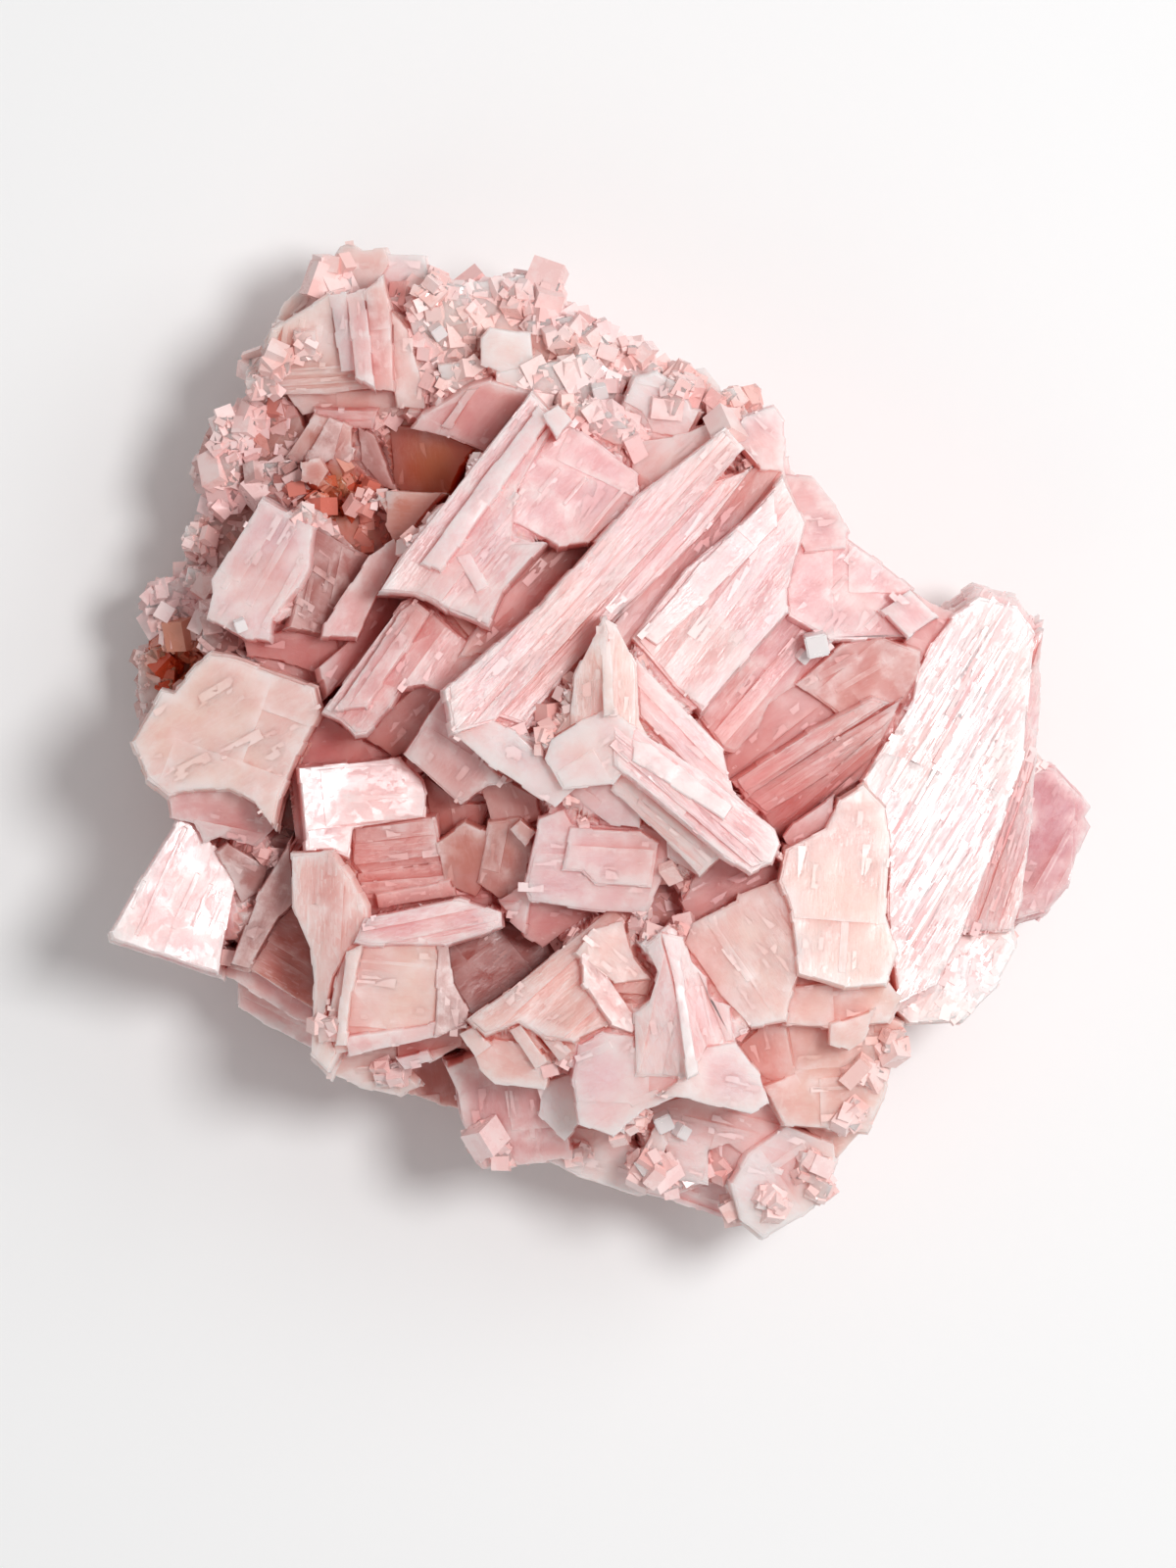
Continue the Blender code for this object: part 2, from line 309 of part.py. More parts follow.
CROWN = (
    Crystal("crown_face", 26.0, (255, 11), (
        (27.5, 33.5), (32.5, 30.5), (33.6, 29.8), (34.8, 37.4), (26.3, 37.8))),
    Crystal("crown_band", 24.6, (264, 22), (
        (26.2, 37.4), (36.5, 36.8), (38.7, 39.4), (33.0, 40.1), (26.6, 40.1), (25.8, 39.3))),
    Crystal("crown_rib_1", 27.0, (200, 12), ((33.4, 29.8), (35.4, 29.6), (36.2, 37.6), (34.6, 37.8))),
    Crystal("crown_rib_2", 28.0, (10, 12), ((35.2, 29.8), (37.2, 29.2), (38.2, 39.6), (36.2, 38.4))),
    Crystal("crown_rib_3", 27.2, (10, 12), (
        (37.0, 29.4), (39.0, 28.0), (39.9, 31.5), (40.1, 39.9), (38.0, 39.6))),
    Crystal("crown_lip", 22.2, (265, 18), (
        (29.0, 39.8), (40.0, 39.2), (40.6, 41.5), (40.0, 42.2), (32.0, 41.7), (30.5, 42.1))),
    Crystal("crown_east", 25.0, (280, 12), (
        (39.9, 31.6), (41.5, 33.6), (42.9, 38.5), (43.4, 41.7), (40.3, 41.4), (39.8, 38.5))),
    Crystal("crown_knob", 20.6, (95, 12), (
        (32.7, 27.5), (34.5, 24.5), (35.5, 24.0), (36.5, 24.8), (39.0, 24.6), (39.5, 26.5), (37.5, 29.8),
        (33.2, 30.6))),
    Crystal("crown_west", 18.6, (150, 22), (
        (28.6, 30.0), (31.5, 27.3), (33.6, 28.5), (32.5, 31.2), (28.5, 33.8), (26.8, 37.0), (26.4, 34.0))),
    Crystal("crown_knob_east", 20.8, (95, 12), (
        (38.8, 25.2), (43.2, 25.4), (43.9, 28.5), (43.6, 30.6), (41.0, 31.0), (38.8, 29.6))),
    Crystal("crust_west", 25.0, (270, 10), (
        (41.2, 31.0), (44.0, 28.6), (47.5, 29.0), (48.8, 32.0), (48.4, 36.0), (45.5, 37.8), (42.5, 36.0))),
    Crystal("crust_drop", 26.2, (270, 14), (
        (44.6, 37.0), (48.5, 36.6), (50.0, 38.8), (47.0, 40.5), (45.0, 39.5))),
    Crystal("clear_cube", 28.4, (265, 9), (
        (49.0, 34.5), (50.0, 33.4), (54.2, 34.0), (54.6, 37.6), (51.0, 38.1), (49.0, 37.2))),
    Crystal("crust_north", 23.6, (80, 14), (
        (47.5, 28.4), (53.5, 27.6), (57.0, 29.6), (57.4, 33.0), (53.0, 34.6), (48.2, 34.0))),
    Crystal("crust_red", 25.4, (260, 12), ((53.6, 32.6), (58.6, 32.0), (58.6, 36.2), (54.2, 37.2))),
    Crystal("crust_middle", 28.0, (265, 10), (
        (54.2, 37.2), (60.0, 36.0), (63.4, 39.0), (62.0, 42.6), (58.5, 42.0), (54.4, 40.2), (50.6, 39.4),
        (50.6, 37.8))),
    Crystal("crust_east", 25.6, (60, 16), (
        (58.4, 32.0), (62.0, 32.6), (64.6, 35.0), (67.8, 37.4), (64.6, 39.4), (59.6, 37.0))),
    Crystal("crust_ledge", 32.4, (270, 14), (
        (57.2, 41.6), (61.0, 41.2), (64.8, 44.3), (65.0, 46.0), (62.5, 45.4), (58.6, 43.6))),
    Crystal("white_chunk", 30.6, (255, 9), (
        (64.8, 38.5), (67.0, 38.0), (69.5, 39.5), (70.5, 41.8), (71.5, 42.0), (70.0, 44.9), (66.5, 44.1),
        (65.5, 42.0), (63.6, 41.0))),
    Crystal("chunk_east", 24.0, (60, 18), (
        (68.6, 37.6), (72.0, 37.2), (73.5, 39.0), (73.9, 40.7), (72.5, 42.8), (69.6, 41.0))),
    Crystal("chunk_foot", 25.6, (60, 18), (
        (72.6, 40.4), (75.5, 40.7), (76.6, 42.2), (74.6, 44.4), (71.8, 43.0))),
    Crystal("chunk_floor", 31.2, (110, 14), (
        (64.4, 45.0), (70.0, 44.2), (73.5, 42.6), (74.4, 43.6), (70.0, 48.4), (65.5, 50.8), (64.4, 48.2))),
    Crystal("roof", 27.4, (250, 18), (
        (43.0, 42.2), (48.0, 39.3), (50.0, 38.8), (54.2, 40.1), (49.5, 46.1), (46.0, 44.6), (41.8, 43.6))),
    Crystal("roof_rib_1", 28.2, (250, 18), ((47.6, 39.8), (48.8, 39.6), (46.0, 43.8), (44.9, 43.4))),
    Crystal("fan_1", 23.2, (240, 14), ((31.8, 42.0), (33.6, 42.6), (31.3, 47.0), (28.5, 46.8))),
    Crystal("fan_2", 23.8, (280, 12), (
        (33.4, 42.4), (34.9, 43.0), (33.8, 46.7), (31.4, 48.0), (30.9, 46.6))),
    Crystal("fan_3", 23.4, (250, 12), (
        (34.8, 42.8), (35.8, 43.4), (35.9, 46.7), (34.2, 49.0), (33.0, 47.2))),
    Crystal("fan_4", 22.6, (250, 14), (
        (36.4, 43.2), (38.0, 44.2), (40.4, 49.9), (38.5, 49.3), (36.6, 46.8))),
    Crystal("fan_top", 22.8, (262, 18), (
        (31.8, 41.4), (38.4, 41.6), (37.8, 43.6), (34.0, 43.4), (32.0, 43.0))),
    Crystal("fan_cube", 26.0, (250, 10), (
        (30.5, 47.0), (32.5, 46.5), (33.3, 48.0), (32.3, 49.6), (30.5, 48.9))),
    Crystal("hollow_step", 28.2, (185, 20), (
        (39.3, 50.0), (45.2, 50.3), (41.6, 54.4), (40.0, 55.4), (39.2, 53.4))),
    Crystal("hollow_wall", 22.0, (200, 26), (
        (39.4, 43.0), (44.0, 43.4), (48.4, 45.6), (47.0, 47.2), (45.4, 50.6), (42.5, 50.2), (40.0, 49.6))),
)

WEST_CRUST = (
    Crystal("west_lump", 20.4, (150, 20), (
        (22.0, 44.0), (24.5, 41.7), (27.0, 40.3), (30.0, 40.8), (31.0, 44.0), (28.2, 47.4), (25.0, 47.4),
        (22.5, 46.0))),
    Crystal("west_lump_low", 16.6, (190, 22), (
        (20.0, 45.8), (22.5, 44.2), (24.8, 47.5), (25.5, 49.6), (22.0, 51.2), (20.2, 49.4), (19.3, 48.0))),
    Crystal("west_blade", 19.6, (190, 18), (
        (22.3, 45.9), (24.8, 47.5), (25.5, 50.2), (22.5, 52.4), (20.7, 51.7), (20.8, 49.0))),
    Crystal("west_face", 18.0, (160, 22), (
        (20.3, 52.3), (24.0, 50.8), (26.6, 50.8), (24.5, 54.8), (23.0, 58.0), (21.5, 59.6), (19.7, 57.2),
        (18.9, 54.5))),
    Crystal("west_floor", 22.4, (200, 16), (
        (25.0, 47.0), (30.0, 46.8), (31.0, 50.0), (28.0, 51.8), (26.2, 51.4), (24.6, 50.4))),
    Crystal("west_fibres", 17.4, (190, 20), (
        (15.0, 59.7), (18.5, 58.2), (19.8, 57.3), (21.8, 59.5), (21.7, 61.0), (20.8, 63.2), (20.2, 66.0),
        (17.8, 66.0), (15.5, 64.5), (14.0, 62.0))),
    Crystal("west_knot", 12.0, (205, 22), (
        (13.1, 66.5), (15.7, 65.6), (17.2, 68.0), (16.6, 71.0), (14.0, 75.2), (13.0, 69.8))),
    Crystal("west_shelf", 25.0, (215, 20), (
        (20.6, 62.6), (24.8, 65.0), (24.6, 67.4), (21.5, 67.0), (20.0, 66.2))),
)

SOUTH_CRUST = (
    Crystal("south_block", 24.4, (262, 22), (
        (45.4, 109.0), (48.5, 107.8), (50.5, 110.4), (55.5, 111.0), (57.8, 112.0), (58.4, 118.6),
        (55.0, 119.1), (49.2, 119.7), (48.5, 119.0), (47.0, 114.2), (46.7, 112.0))),
    Crystal("south_gap", 26.6, (250, 20), (
        (55.2, 110.6), (58.5, 109.6), (59.3, 114.5), (57.6, 116.8), (54.8, 114.0))),
    Crystal("south_slab", 20.4, (262, 28), (
        (57.5, 114.8), (62.5, 115.6), (66.0, 118.4), (67.4, 121.6), (65.0, 122.6), (59.0, 120.6),
        (56.2, 119.0))),
    Crystal("south_band", 16.4, (262, 32), (
        (64.8, 119.0), (70.0, 120.2), (74.5, 121.4), (75.9, 124.9), (74.0, 125.2), (69.0, 123.4),
        (64.8, 122.4))),
    Crystal("south_nub", 26.0, (250, 14), (
        (65.5, 117.5), (67.0, 114.8), (68.2, 117.0), (67.2, 119.8), (65.0, 119.6))),
    Crystal("south_floor", 25.0, (285, 14), (
        (66.2, 112.8), (70.5, 111.8), (76.0, 113.2), (79.6, 112.4), (80.4, 115.0), (76.6, 118.6),
        (74.5, 117.0), (72.4, 117.6), (72.4, 121.4), (68.5, 120.6), (67.6, 116.0))),
)

CRYSTALS = (LONG_BARS + LEFT_BARS + PALE_BLOCKS + FRAMED + MIDDLE + CORNERS + RIGHT_PLATES + RECESS + CROWN
            + WEST_CRUST + SOUTH_CRUST)

# The edge of the whole cluster in plan, clockwise from its furthest point back.
RIM = (
    (35.0, 24.3), (43.2, 25.4), (45.5, 27.0), (51.5, 27.0), (57.0, 28.1), (60.8, 30.5), (64.0, 32.5),
    (66.8, 34.8), (71.8, 37.1), (73.8, 40.0), (78.5, 41.5), (80.2, 44.5), (83.0, 48.7), (86.4, 54.0),
    (90.0, 57.5), (96.0, 62.0), (100.0, 60.8), (106.8, 64.0), (106.5, 70.0), (106.0, 77.5), (111.0, 81.2),
    (112.0, 84.5), (109.8, 90.5), (107.5, 93.2), (104.0, 97.0), (101.8, 101.0), (98.5, 104.3),
    (92.5, 104.5), (90.5, 109.5), (90.0, 112.0), (88.0, 116.0), (85.5, 119.0), (84.5, 122.5),
    (78.0, 126.8), (75.7, 125.0), (69.0, 123.2), (59.0, 120.5), (55.0, 119.0), (49.2, 119.6),
    (47.0, 114.0), (40.5, 112.2), (36.5, 111.3), (31.5, 107.5), (26.0, 105.0), (23.5, 100.0),
    (18.0, 98.5), (11.3, 95.0), (18.3, 83.2), (13.5, 75.7), (14.5, 73.5), (13.0, 68.0), (14.0, 61.8),
    (19.7, 57.0), (18.8, 54.7), (20.8, 49.3), (19.7, 46.0), (24.5, 41.5), (27.3, 40.5), (25.8, 39.5),
    (27.2, 33.0), (29.0, 29.7), (33.5, 25.8),
)
RIM_KEEP_OUT = 1.2  # how far the massive salt stays inside the rim
# (height, share of the rim's reach) of each ring of the massive salt's side.
BED_SIDE = ((-2.0, 0.80), (3.0, 0.88), (11.0, 0.93))
BED_TOP = (0.92, 0.78, 0.5)  # the same share for each ring of its top
CREVICE = 4.0  # how far its top stays below the crystals around
PROBE = 2.5  # how far around it looks for them
BED_ROUGHNESS = 0.035

# Pits that go down into the massive salt between the crystals: height of the floor, and outline.
PITS = (
    ("pit_red", 9.0, ((33.2, 52.6), (38.6, 51.2), (40.4, 54.6), (37.6, 57.2))),
    ("pit_brown", 12.0, ((43.0, 44.6), (47.6, 45.8), (47.4, 49.0), (43.4, 51.0))),
    ("pit_west", 7.0, ((16.4, 65.6), (20.6, 65.6), (21.2, 67.6), (17.2, 70.4), (15.8, 68.8))),
    ("pit_gap", 16.0, ((66.4, 89.8), (69.2, 89.9), (69.5, 93.0), (66.1, 95.6))),
    ("pit_cream", 14.0, ((27.0, 85.0), (29.4, 80.6), (30.0, 85.4), (28.4, 88.0))),
)

# Druse is the small crystals along part of the rim: which stretch of it, as two shares of the way
# round, how far in from it, how many, and their least and greatest edge.
Druse = namedtuple("Druse", "stretch reach count edge")
DRUSE = (
    Druse((0.02, 0.15), (0.6, 6.0), 22, (1.8, 3.2)),
    Druse((0.44, 0.52), (0.8, 6.0), 7, (2.0, 4.0)),
    Druse((0.52, 0.70), (0.6, 4.0), 9, (2.0, 3.6)),
    Druse((0.80, 0.99), (0.6, 4.5), 12, (2.0, 3.6)),
)

# Flank is a row of tilted blocks around the side of the massive salt: the height of their middles, how
# many there are, and their least and greatest edge.
Flank = namedtuple("Flank", "height count edge")
FLANKS = (
    Flank(5.0, 13, (9.0, 14.0)),
    Flank(12.0, 14, (8.0, 12.0)),
    Flank(18.5, 13, (6.0, 10.0)),
)
FLANK_REACH = 0.995  # the share of the rim's reach that their corners keep to
FLANK_COVER = 1.0  # how far they stay below the upper crystals
FLANK_TILT = (15, 60)  # how far their tops lean outwards


def collection(name, hidden):
    made = bpy.data.collections.new(name)
    bpy.context.scene.collection.children.link(made)
    made.hide_render = hidden
    return made


def add_object(bm, name, group):
    mesh = bpy.data.meshes.new(name)
    bm.to_mesh(mesh)
    bm.free()
    obj = bpy.data.objects.new(name, mesh)
    group.objects.link(obj)
    return obj


def on_plan(corner):
    return Vector((corner[0] - PLAN_MIDDLE[0], PLAN_MIDDLE[1] - corner[1], 0.0))


def add_prism(name, corners, height, lean, depth, group):
    """A prism whose upper face leans, and that widens a little to its foot."""
    towards, by = (math.radians(angle) for angle in lean)
    up = Vector((math.sin(by) * math.cos(towards), math.sin(by) * math.sin(towards), math.cos(by)))
    points = [on_plan(corner) for corner in corners]
    middle = sum(points, Vector()) / len(points)
    for point in points:
        point.z = height - up.to_2d().dot((point - middle).to_2d()) / up.z
    bm = bmesh.new()
    face = bm.faces.new([bm.verts.new(point * MM) for point in points])
    face.normal_update()
    if face.normal.z > 0:
        face.normal_flip()
    foot = bmesh.ops.duplicate(bm, geom=[face])["geom"]
    foot_face = next(part for part in foot if isinstance(part, bmesh.types.BMFace))
    foot_face.normal_flip()
    grown = bmesh.ops.extrude_face_region(bm, geom=[face])["geom"]
    bmesh.ops.delete(bm, geom=[foot_face], context="FACES")
    middle.z = height
    down = Vector((up.x * SWAY, up.y * SWAY, up.z)) * depth
    for vert in (part for part in grown if isinstance(part, bmesh.types.BMVert)):
        vert.co = (middle + (vert.co / MM - middle) * FLARE - down) * MM
    bmesh.ops.recalc_face_normals(bm, faces=bm.faces)
    return add_object(bm, name, group)


def depth_of(crystal):
    """How far a crystal reaches down: to the massive salt, or as a block where it stands at the rim."""
    rim, corners = [[on_plan(corner) for corner in line] for line in (RIM, crystal.corners)]
    ring = zip(corners, corners[1:] + corners[:1])
    width = math.sqrt(abs(sum(start.cross(end).z for start, end in ring)) / 2)
    depth = crystal.height - FOOT
    for start, end in zip(rim, rim[1:] + rim[:1]):
        for corner in corners:
            nearest, share = geometry.intersect_point_line(corner, start, end)
            if 0 <= share <= 1 and (corner - nearest).length < RIM_BAND:
                depth = min(depth, width)
    return max(LEAST_DEPTH, depth)


def level_under(spot, ground):
    """The height of the massive salt at a spot: a crevice below the lowest crystal face around it."""
    levels = []
    for step in ((0, 0), (PROBE, 0), (-PROBE, 0), (0, PROBE), (0, -PROBE)):
        start = Vector((spot.x + step[0], spot.y + step[1], 90))
        place = ground.ray_cast(start * MM, Vector((0, 0, -1)))[0]
        if place is not None:
            levels.append(place.z / MM)
    return max(BED_SIDE[-1][0], min(levels, default=0.0) - CREVICE)


def add_bed(group, ground):
    """The massive salt: rings that follow the rim and the crystals, coarsely roughened."""
    rim = [on_plan(corner) for corner in RIM]
    bm = bmesh.new()
    rings = []
    for height, share in [*BED_SIDE, *((None, share) for share in BED_TOP)]:
        ring = []
        for point in rim:
            rough = 1 + BED_ROUGHNESS * 2 * noise.noise(Vector((point.x * 0.11, point.y * 0.11, share * 4)))
            spot = point.normalized() * max(0.0, point.length * share * rough - RIM_KEEP_OUT)
            spot.z = level_under(spot, ground) if height is None else height
            ring.append(bm.verts.new(spot * MM))
        rings.append(ring)
    for low, high in zip(rings, rings[1:]):
        for i in range(len(low)):
            j = (i + 1) % len(low)
            bm.faces.new((low[i], low[j], high[j], high[i]))
    bm.faces.new(rings[0])
    bm.faces.new(rings[-1])
    bmesh.ops.triangulate(bm, faces=bm.faces)
    bmesh.ops.recalc_face_normals(bm, faces=bm.faces)
    return add_object(bm, "bed", group)


def add_block(name, size, middle, turn, group):
    bm = bmesh.new()
    bmesh.ops.create_cube(bm, size=1.0)
    stretch = Matrix.Diagonal((*(edge * MM for edge in size), 1.0))
    place = Matrix.Translation(middle * MM) @ turn.to_4x4() @ stretch
    bmesh.ops.transform(bm, matrix=place, verts=bm.verts)
    return add_object(bm, name, group)


def tree_of(objects):
    points, faces = [], []
    for obj in objects:
        start = len(points)
        points += [vert.co.copy() for vert in obj.data.vertices]
        faces += [[start + k for k in polygon.vertices] for polygon in obj.data.polygons]
    return BVHTree.FromPolygons(points, faces)


def grow_druse(druse, name, ground, group, rng):
    """Small crystals dropped on to what lies along a stretch of the rim."""
    rim = [on_plan(corner) for corner in RIM]
    for i in range(druse.count):
        way = rng.uniform(*druse.stretch) * len(rim)
        start, end = rim[int(way) % len(rim)], rim[(int(way) + 1) % len(rim)]
        along = (end - start).normalized()
        inward = Vector((along.y, -along.x, 0))
        spot = start.lerp(end, way % 1) + inward * rng.uniform(*druse.reach)
        place, out, _, _ = ground.ray_cast(Vector((spot.x, spot.y, 90)) * MM, Vector((0, 0, -1)))
        if place is None:
            continue
        size = [rng.uniform(*druse.edge) for _ in range(2)] + [druse.edge[1] * 2]
        up = (out + Vector([rng.uniform(-0.3, 0.3) for _ in range(3)])).normalized()
        turn = up.to_track_quat("Z", "Y").to_matrix() @ Matrix.Rotation(rng.uniform(0, math.pi), 3, "Z")
        sink = size[2] / 2 - rng.uniform(0.25, 0.5) * size[0]
        add_block(f"{name}_{i}", size, place / MM - up * sink, turn, group)


def inside(spot, rim):
    """Whether a spot lies inside the rim in plan."""
    crossings = 0
    for start, end in zip(rim, rim[1:] + rim[:1]):
        if (start.y > spot.y) != (end.y > spot.y):
            share = (spot.y - start.y) / (end.y - start.y)
            crossings += spot.x < start.x + (end.x - start.x) * share
    return crossings % 2 == 1


def grow_flank(flank, name, ground, group, rng):
    """A row of tilted blocks whose corners keep inside the rim and below the crystals over them."""
    rim = [on_plan(corner) * FLANK_REACH for corner in RIM]
    for i in range(flank.count):
        way = (i + rng.uniform(0.2, 0.8)) / flank.count * len(rim)
        edge = rim[int(way) % len(rim)].lerp(rim[(int(way) + 1) % len(rim)], way % 1)
        outward = math.atan2(edge.y, edge.x)
        tilt = math.radians(rng.uniform(*FLANK_TILT))
        spin = rng.uniform(0, math.pi / 2)
        leaning = Matrix.Rotation(outward, 3, "Z") @ Matrix.Rotation(tilt, 3, "Y")
        turn = leaning @ Matrix.Rotation(spin, 3, "Z")
        size = [rng.uniform(*flank.edge) for _ in range(3)]
        corners = [turn @ Vector([side * part / 2 for side, part in zip(sides, size)])
                   for sides in product((-1, 1), repeat=3)]
        middle = edge + Vector((0, 0, flank.height + rng.uniform(-1.5, 1.5)))
        while not all(inside(middle + corner, rim) for corner in corners):
            middle -= edge * 0.01
        excess = 0.0
        for corner in corners:
            start = Vector((middle.x + corner.x, middle.y + corner.y, 90)) * MM
            cover = ground.ray_cast(start, Vector((0, 0, -1)))[0]
            top = BED_SIDE[-1][0] if cover is None else cover.z / MM
            excess = max(excess, middle.z + corner.z - top + FLANK_COVER)
        middle.z -= excess
        add_block(f"{name}_{i}", size, middle, turn, group)


def apply_boolean(obj, operation, group):
    """The mesh of obj with every object of group joined to it or cut from it."""
    change = obj.modifiers.new(operation.lower(), "BOOLEAN")
    change.operation = operation
    change.operand_type = "COLLECTION"
    change.collection = group
    graph = bpy.context.evaluated_depsgraph_get()
    mesh = bpy.data.meshes.new_from_object(obj.evaluated_get(graph))
    obj.modifiers.clear()
    obj.data = mesh
    return mesh


def keep_outer_shell(mesh):
    """Takes away the closed pockets between the crystals, which nothing can reach."""
    bm = bmesh.new()
    bm.from_mesh(mesh)
    left = set(bm.faces)
    shells = []
    while left:
        shell, stack = set(), [left.pop()]
        while stack:
            face = stack.pop()
            shell.add(face)
            linked = {other for edge in face.edges for other in edge.link_faces} & left
            left -= linked
            stack += linked
        shells.append(shell)
    outer = max(shells, key=len)
    bmesh.ops.delete(bm, geom=[face for face in bm.faces if face not in outer], context="FACES")
    bm.to_mesh(mesh)
    bm.free()


def halite():
    material = bpy.data.materials.new("pink_halite")
    material.use_nodes = True
    shader = material.node_tree.nodes["Principled BSDF"]
    shader.inputs["Base Color"].default_value = (0.82, 0.56, 0.56, 1)
    shader.inputs["Roughness"].default_value = 0.4
    shader.inputs["Metallic"].default_value = 0.0
    return material


def main():
    for obj in list(bpy.data.objects):
        bpy.data.objects.remove(obj)
    shown = collection(NAME, False)
    grown = collection("grown", True)
    pits = collection("pits", True)
    below = collection("below", True)
    rng = random.Random(SEED)

    for name, floor, corners in PITS:
        add_prism(name, corners, 60.0, (0, 0), 60.0 - floor, pits)
    for crystal in CRYSTALS:
        add_prism(crystal.name, crystal.corners, crystal.height, crystal.lean, depth_of(crystal), grown)
    bed = add_bed(shown, tree_of(grown.objects))
    ground = tree_of([bed, *grown.objects])
    for i, druse in enumerate(DRUSE):
        grow_druse(druse, f"druse_{i}", ground, grown, rng)
    for i, flank in enumerate(FLANKS):
        grow_flank(flank, f"flank_{i}", ground, grown, rng)
    add_block("ground", (300, 300, 60), Vector((0, 0, -30)), Matrix.Identity(3), below)

    apply_boolean(bed, "DIFFERENCE", pits)
    apply_boolean(bed, "UNION", grown)
    cluster = bpy.data.objects.new(NAME, apply_boolean(bed, "DIFFERENCE", below))
    keep_outer_shell(cluster.data)
    cluster.data.name = NAME
    cluster.data.materials.clear()
    cluster.data.materials.append(halite())
    cluster.data.shade_flat()
    shown.objects.link(cluster)
    for helper in [bed, *grown.objects, *pits.objects, *below.objects]:
        bpy.data.objects.remove(helper)


main()
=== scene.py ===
# Pink halite: bars, hopper cubes, plates and skeletal corners grown through one another, with a
# granular crust round the rim. The tables are in millimetres on a plan grid whose x runs right and
# whose y runs towards the front; the model is in metres, Z up from the cut underside.
import json
import math
import random
from collections import namedtuple
from itertools import product

import bmesh
import bpy
import numpy as np
from mathutils import Matrix, Vector, geometry, noise
from mathutils.bvhtree import BVHTree

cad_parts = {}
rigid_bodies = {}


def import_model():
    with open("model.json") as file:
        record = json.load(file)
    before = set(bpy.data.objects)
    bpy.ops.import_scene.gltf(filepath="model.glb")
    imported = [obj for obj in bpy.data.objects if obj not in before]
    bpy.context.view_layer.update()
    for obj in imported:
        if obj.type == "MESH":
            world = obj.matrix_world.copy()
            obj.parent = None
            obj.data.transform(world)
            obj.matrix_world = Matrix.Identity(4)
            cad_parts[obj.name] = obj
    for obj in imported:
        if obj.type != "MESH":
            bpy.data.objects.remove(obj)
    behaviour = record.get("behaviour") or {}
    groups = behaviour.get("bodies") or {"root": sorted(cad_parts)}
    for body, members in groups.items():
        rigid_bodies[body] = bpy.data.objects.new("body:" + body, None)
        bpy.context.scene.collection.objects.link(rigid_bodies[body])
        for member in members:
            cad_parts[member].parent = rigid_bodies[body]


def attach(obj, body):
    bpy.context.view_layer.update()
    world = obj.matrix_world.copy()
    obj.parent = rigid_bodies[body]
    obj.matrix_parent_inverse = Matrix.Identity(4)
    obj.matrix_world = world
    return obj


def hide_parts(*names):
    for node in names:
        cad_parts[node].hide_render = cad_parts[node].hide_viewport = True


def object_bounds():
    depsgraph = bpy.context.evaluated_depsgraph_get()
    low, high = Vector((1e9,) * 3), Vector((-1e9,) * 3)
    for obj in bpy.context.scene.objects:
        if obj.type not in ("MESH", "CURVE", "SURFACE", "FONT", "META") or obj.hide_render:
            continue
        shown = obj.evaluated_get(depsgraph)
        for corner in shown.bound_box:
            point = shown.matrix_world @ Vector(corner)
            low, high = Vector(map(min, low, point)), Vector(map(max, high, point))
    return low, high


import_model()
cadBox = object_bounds()
print("frame loaded")

mm = 0.001
planMiddle = (61.7, 75.4)  # the grid point over the origin
clusterSeed = 7
footLevel = 12.0  # mm, the level that a crystal reaches down to
leastDepth = 7.0  # mm, how far even a low crystal reaches down from its upper face
rimBand = 3.0  # mm; a crystal this near the rim is a block, as deep as it is wide
flare = 1.1  # how much wider a crystal is at its foot
sway = 0.1  # how much of its lean its side faces follow
skyLevel = 90.0  # mm, above everything: where the rays that look for the ground start
saltIor = 1.544

Crystal = namedtuple("Crystal", "name height lean corners")


# A crystal is a prism: height of the middle of its upper face, the way that face tips and by how many
# degrees, and the corners of its outline in plan.
def crystalRows(*rows):
    return tuple(Crystal(name, height, (towards, by), tuple(corners))
                 for name, height, towards, by, *corners in rows)


longBars = crystalRows(
    ("longBar", 39.0, 20, 11, (74.0, 43.7), (76.0, 46.0), (61.0, 62.5), (50.5, 73.8), (46.3, 75.0),
     (45.5, 70.5), (55.0, 62.0), (65.0, 50.8)),
    ("longBarLedge", 37.8, 20, 11, (76.8, 47.8), (72.0, 54.5), (62.5, 63.5), (59.8, 66.8), (53.5, 74.2),
     (50.0, 73.0), (60.0, 61.5), (70.5, 50.0)),
    ("longBarEnd", 36.6, 230, 20, (45.7, 70.3), (46.9, 75.0), (50.4, 78.5), (52.0, 80.0), (50.0, 80.2),
     (47.0, 82.2), (41.2, 77.0)),
    ("longBarLip", 41.0, 255, 9, (46.3, 75.0), (50.5, 73.5), (52.7, 74.7), (55.5, 77.3), (57.8, 79.0),
     (59.0, 80.4), (56.6, 82.5), (54.6, 81.2), (50.0, 78.2)),
    ("broadBar", 37.4, 35, 9, (79.8, 48.8), (82.0, 53.5), (80.3, 60.0), (80.3, 62.6), (76.0, 67.5),
     (71.5, 72.8), (68.5, 70.0), (64.4, 65.2), (70.0, 58.0), (75.5, 53.5)),
    ("broadBarStep", 38.4, 35, 9, (79.0, 50.2), (79.2, 54.0), (71.5, 62.0), (67.0, 66.0), (65.2, 64.8),
     (71.5, 57.5)),
    ("grooveFloor", 34.6, 60, 16, (80.0, 47.0), (80.5, 50.0), (70.0, 60.0), (63.5, 66.5), (61.5, 65.0),
     (75.0, 48.0)),
    ("barKnob", 32.0, 40, 16, (76.0, 42.5), (79.0, 41.4), (80.0, 43.0), (80.1, 46.0), (79.8, 48.3),
     (77.5, 48.0), (74.5, 44.5)),
)

